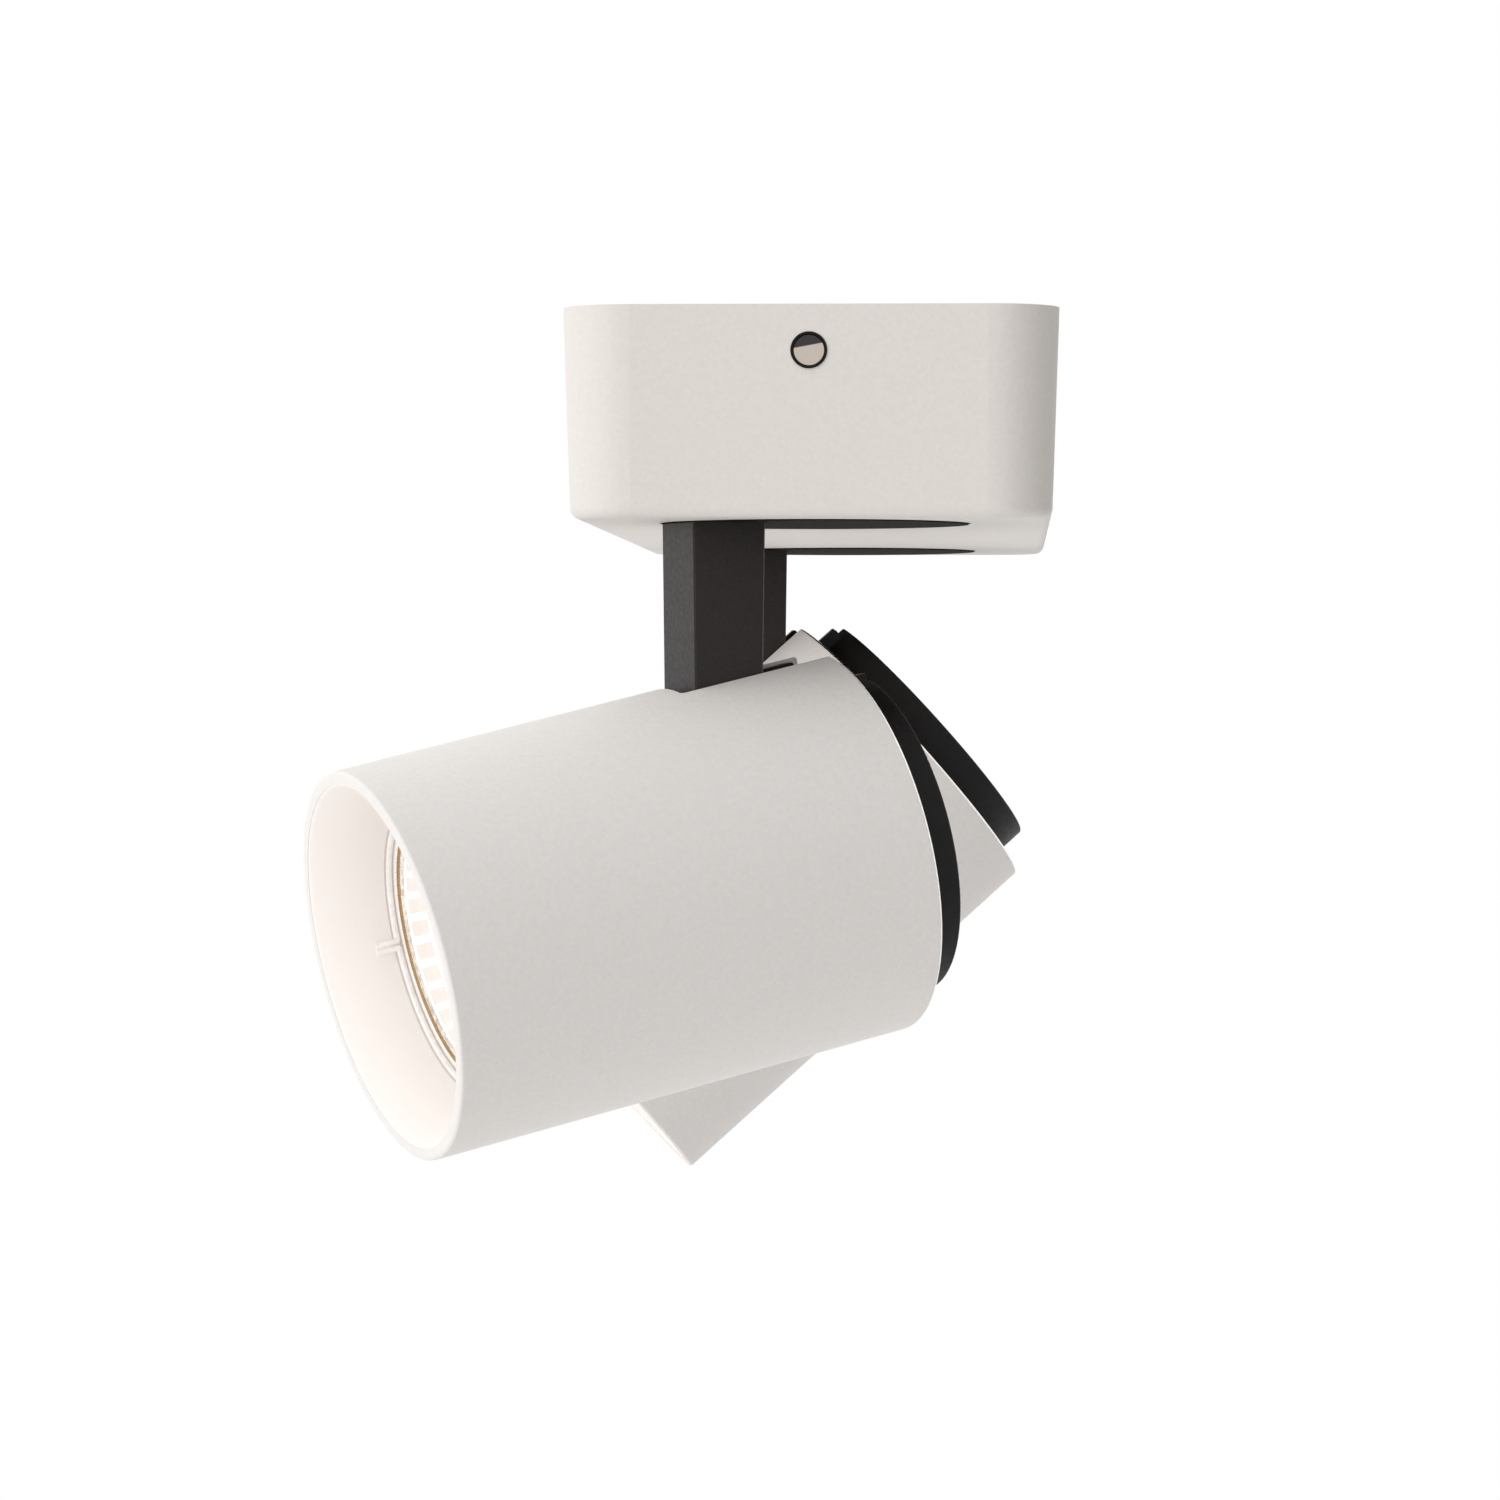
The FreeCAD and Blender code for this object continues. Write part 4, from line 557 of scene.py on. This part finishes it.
def screw_trim(end, name):
    """Black sleeve, a painted shade deep in a cover screw's recess, and the washer face on the screw's head.
    """
    drop = Matrix.Translation((0, 0, -SCREW_DROP * MM))
    place = drop @ Matrix.Rotation(math.radians(90 * end), 4, "Z")
    inner = SCREW_RECESS_RADIUS - SHADE_SLEEVE_WALL
    front = BASE_HALF_LENGTH - SHADE_SLEEVE_FRONT
    back = BASE_HALF_LENGTH - SHADE_SLEEVE_BACK
    sleeve = [(front, SCREW_RECESS_RADIUS), (front, inner), (back, inner), (back, SCREW_RECESS_RADIUS)]
    # black sleeve: painted shade deep in the recess
    shade_sleeve = turned("screw_shade_sleeve", sleeve, SCREW_SEGMENTS)
    finish_piece("screw_shade_sleeve_" + name, shade_sleeve, [RECESS_SHADE_BLACK], place, "base")

    top = BASE_HALF_LENGTH - WASHER_FRONT
    edge_drop, edge_inset = WASHER_EDGE
    washer = [
        (top - WASHER_THICKNESS, 0.0),
        (top - WASHER_THICKNESS, inner - WASHER_GAP),
        (top - edge_drop, inner - WASHER_GAP),
        (top, inner - edge_inset),
        (top, 0.0),
    ]
    # face on the screw's head, which carries the painted shade
    face = turned("screw_face", washer, SCREW_SEGMENTS, closed=False)
    finish_piece("screw_face_" + name, face, [SCREW_FACE], place, "base")


for head in HEADS:
    reflector_shell(head)
    faceted_bowl(head)
    bronze_line(head)
    front_cone(head)
    rear_edge(head)
screw_trim(-1, "near")
screw_trim(1, "far")


# ---------------------------------------------------------------- finishes of the CAD's nodes
for part in frame["record"]["subparts"]:
    node_mesh = frame["nodes"][part["node"]].data
    node_mesh.materials.clear()
    node_mesh.materials.append(MATERIALS[part["material_slot"]])


# ---------------------------------------------------------------- stage and lights, in metres
FLOOR_HALF_WIDTH = 1.6
FLOOR_Z = -1.1
FLOOR_COLOR = (0.94, 0.94, 0.935, 1)
FLOOR_WHITENING = 0.85   # share of plain white that the camera sees on the floor

# light from a direction: the level plus the slope's part along it, less each fall times the square of the
# direction's part along its axis
SURROUND_TINT = (1.0, 0.99, 0.98, 1)
SURROUND_LEVEL = 1.30
SURROUND_SLOPE = (-0.569, 0.175, 0.052)
SURROUND_FALLS = (((0.995, -0.098, 0.0), 0.806), ((0.0, 0.0, 1.0), 0.287))
SURROUND_LOWEST = 0.02

KEY_PLACE = (-1.6, -1.0, 0.3)
KEY_TARGET = (0.0, 0.0, -0.06)
KEY_WIDTH = 1.2
KEY_WATTS = 3.0


def floor_material():
    """Plain diffuse for the light it returns.

    The camera sees it nearly white, with a little of the shadow.
    """
    material = bpy.data.materials.new("stage_white")
    material.use_nodes = True
    tree = material.node_tree
    tree.nodes.clear()
    output = tree.nodes.new("ShaderNodeOutputMaterial")
    paint = tree.nodes.new("ShaderNodeBsdfDiffuse")
    paint.inputs["Color"].default_value = FLOOR_COLOR
    white = tree.nodes.new("ShaderNodeEmission")
    seen = tree.nodes.new("ShaderNodeMath")
    seen.operation = "MULTIPLY"
    seen.inputs[1].default_value = FLOOR_WHITENING
    tree.links.new(tree.nodes.new("ShaderNodeLightPath").outputs["Is Camera Ray"], seen.inputs[0])
    mix = tree.nodes.new("ShaderNodeMixShader")
    tree.links.new(seen.outputs["Value"], mix.inputs["Fac"])
    tree.links.new(paint.outputs["BSDF"], mix.inputs[1])
    tree.links.new(white.outputs["Emission"], mix.inputs[2])
    tree.links.new(mix.outputs["Shader"], output.inputs["Surface"])
    return material


def floor():
    half, z = FLOOR_HALF_WIDTH, FLOOR_Z
    mesh = bpy.data.meshes.new("floor")
    corners = [(-half, -half, z), (half, -half, z), (half, half, z), (-half, half, z)]
    mesh.from_pydata(corners, [], [(0, 1, 2, 3)])
    mesh.materials.append(floor_material())
    floor_object = bpy.data.objects.new("floor", mesh)
    bpy.context.scene.collection.objects.link(floor_object)


def world_light():
    """Soft studio surround, brighter behind and to the left.

    The camera sees it plain white, also in metal and through glass.
    """
    world = bpy.data.worlds.new("studio")
    bpy.context.scene.world = world
    world.use_nodes = True
    tree = world.node_tree
    tree.nodes.clear()
    direction = tree.nodes.new("ShaderNodeTexCoord").outputs["Generated"]

    def math_node(operation, first, second):
        node = tree.nodes.new("ShaderNodeMath")
        node.operation = operation
        for socket, value in zip(node.inputs, (first, second)):
            if isinstance(value, (int, float)):
                socket.default_value = value
            else:
                tree.links.new(value, socket)
        return node.outputs["Value"]

    def along(axis):
        node = tree.nodes.new("ShaderNodeVectorMath")
        node.operation = "DOT_PRODUCT"
        node.inputs[1].default_value = axis
        tree.links.new(direction, node.inputs[0])
        return node.outputs["Value"]

    level = math_node("ADD", along(SURROUND_SLOPE), SURROUND_LEVEL)
    for axis, fall in SURROUND_FALLS:
        squared = math_node("POWER", along(axis), 2.0)
        level = math_node("SUBTRACT", level, math_node("MULTIPLY", squared, fall))
    level = math_node("MAXIMUM", level, SURROUND_LOWEST)
    path = tree.nodes.new("ShaderNodeLightPath")
    seen = path.outputs["Is Camera Ray"]
    for kind in ("Is Glossy Ray", "Is Transmission Ray"):
        seen = math_node("MAXIMUM", seen, path.outputs[kind])
    surround = tree.nodes.new("ShaderNodeBackground")
    surround.inputs["Color"].default_value = SURROUND_TINT
    tree.links.new(level, surround.inputs["Strength"])
    white = tree.nodes.new("ShaderNodeBackground")
    white.inputs["Color"].default_value = (1, 1, 1, 1)
    mix = tree.nodes.new("ShaderNodeMixShader")
    tree.links.new(seen, mix.inputs["Fac"])
    tree.links.new(surround.outputs["Background"], mix.inputs[1])
    tree.links.new(white.outputs["Background"], mix.inputs[2])
    output = tree.nodes.new("ShaderNodeOutputWorld")
    tree.links.new(mix.outputs["Shader"], output.inputs["Surface"])


def key_light():
    """Large soft lamp beside the camera, to the left."""
    data = bpy.data.lights.new("key_left", "AREA")
    data.size = KEY_WIDTH
    data.energy = KEY_WATTS
    light = bpy.data.objects.new("key_left", data)
    light.location = KEY_PLACE
    light.rotation_euler = (Vector(KEY_TARGET) - Vector(KEY_PLACE)).to_track_quat("-Z", "Y").to_euler()
    bpy.context.scene.collection.objects.link(light)


# ---------------------------------------------------------------- camera, fitted to outlines in the photo
PHOTO_WIDTH = 1500       # pixels, as is the focal length
FOCAL_LENGTH = 6198.681
SENSOR_WIDTH = 36.0
CAMERA_PLACE = (0.033999, -1.208804, -0.069991)     # metres
CAMERA_YAW = 2.355       # degrees, as are the next two
CAMERA_PITCH = -0.392
CAMERA_ROLL = 0.021


def camera():
    data = bpy.data.cameras.new("camera")
    data.sensor_width = SENSOR_WIDTH
    data.lens = FOCAL_LENGTH / PHOTO_WIDTH * SENSOR_WIDTH
    data.clip_start = 0.05
    data.clip_end = 50.0
    view = bpy.data.objects.new("camera", data)
    yaw, pitch, roll = (math.radians(angle) for angle in (CAMERA_YAW, CAMERA_PITCH, CAMERA_ROLL))
    forward = Vector((-math.sin(yaw) * math.cos(pitch), math.cos(yaw) * math.cos(pitch), math.sin(pitch)))
    right = Vector((math.cos(yaw), math.sin(yaw), 0))
    up = right.cross(forward)
    rolled_right = math.cos(roll) * right + math.sin(roll) * up
    rolled_up = -math.sin(roll) * right + math.cos(roll) * up
    turn = Matrix((rolled_right, rolled_up, -forward)).transposed()
    view.matrix_world = Matrix.Translation(CAMERA_PLACE) @ turn.to_4x4()
    bpy.context.scene.collection.objects.link(view)
    bpy.context.scene.camera = view


floor()
world_light()
key_light()
camera()
bpy.context.scene.view_settings.view_transform = "Standard"

bpy.context.view_layer.update()
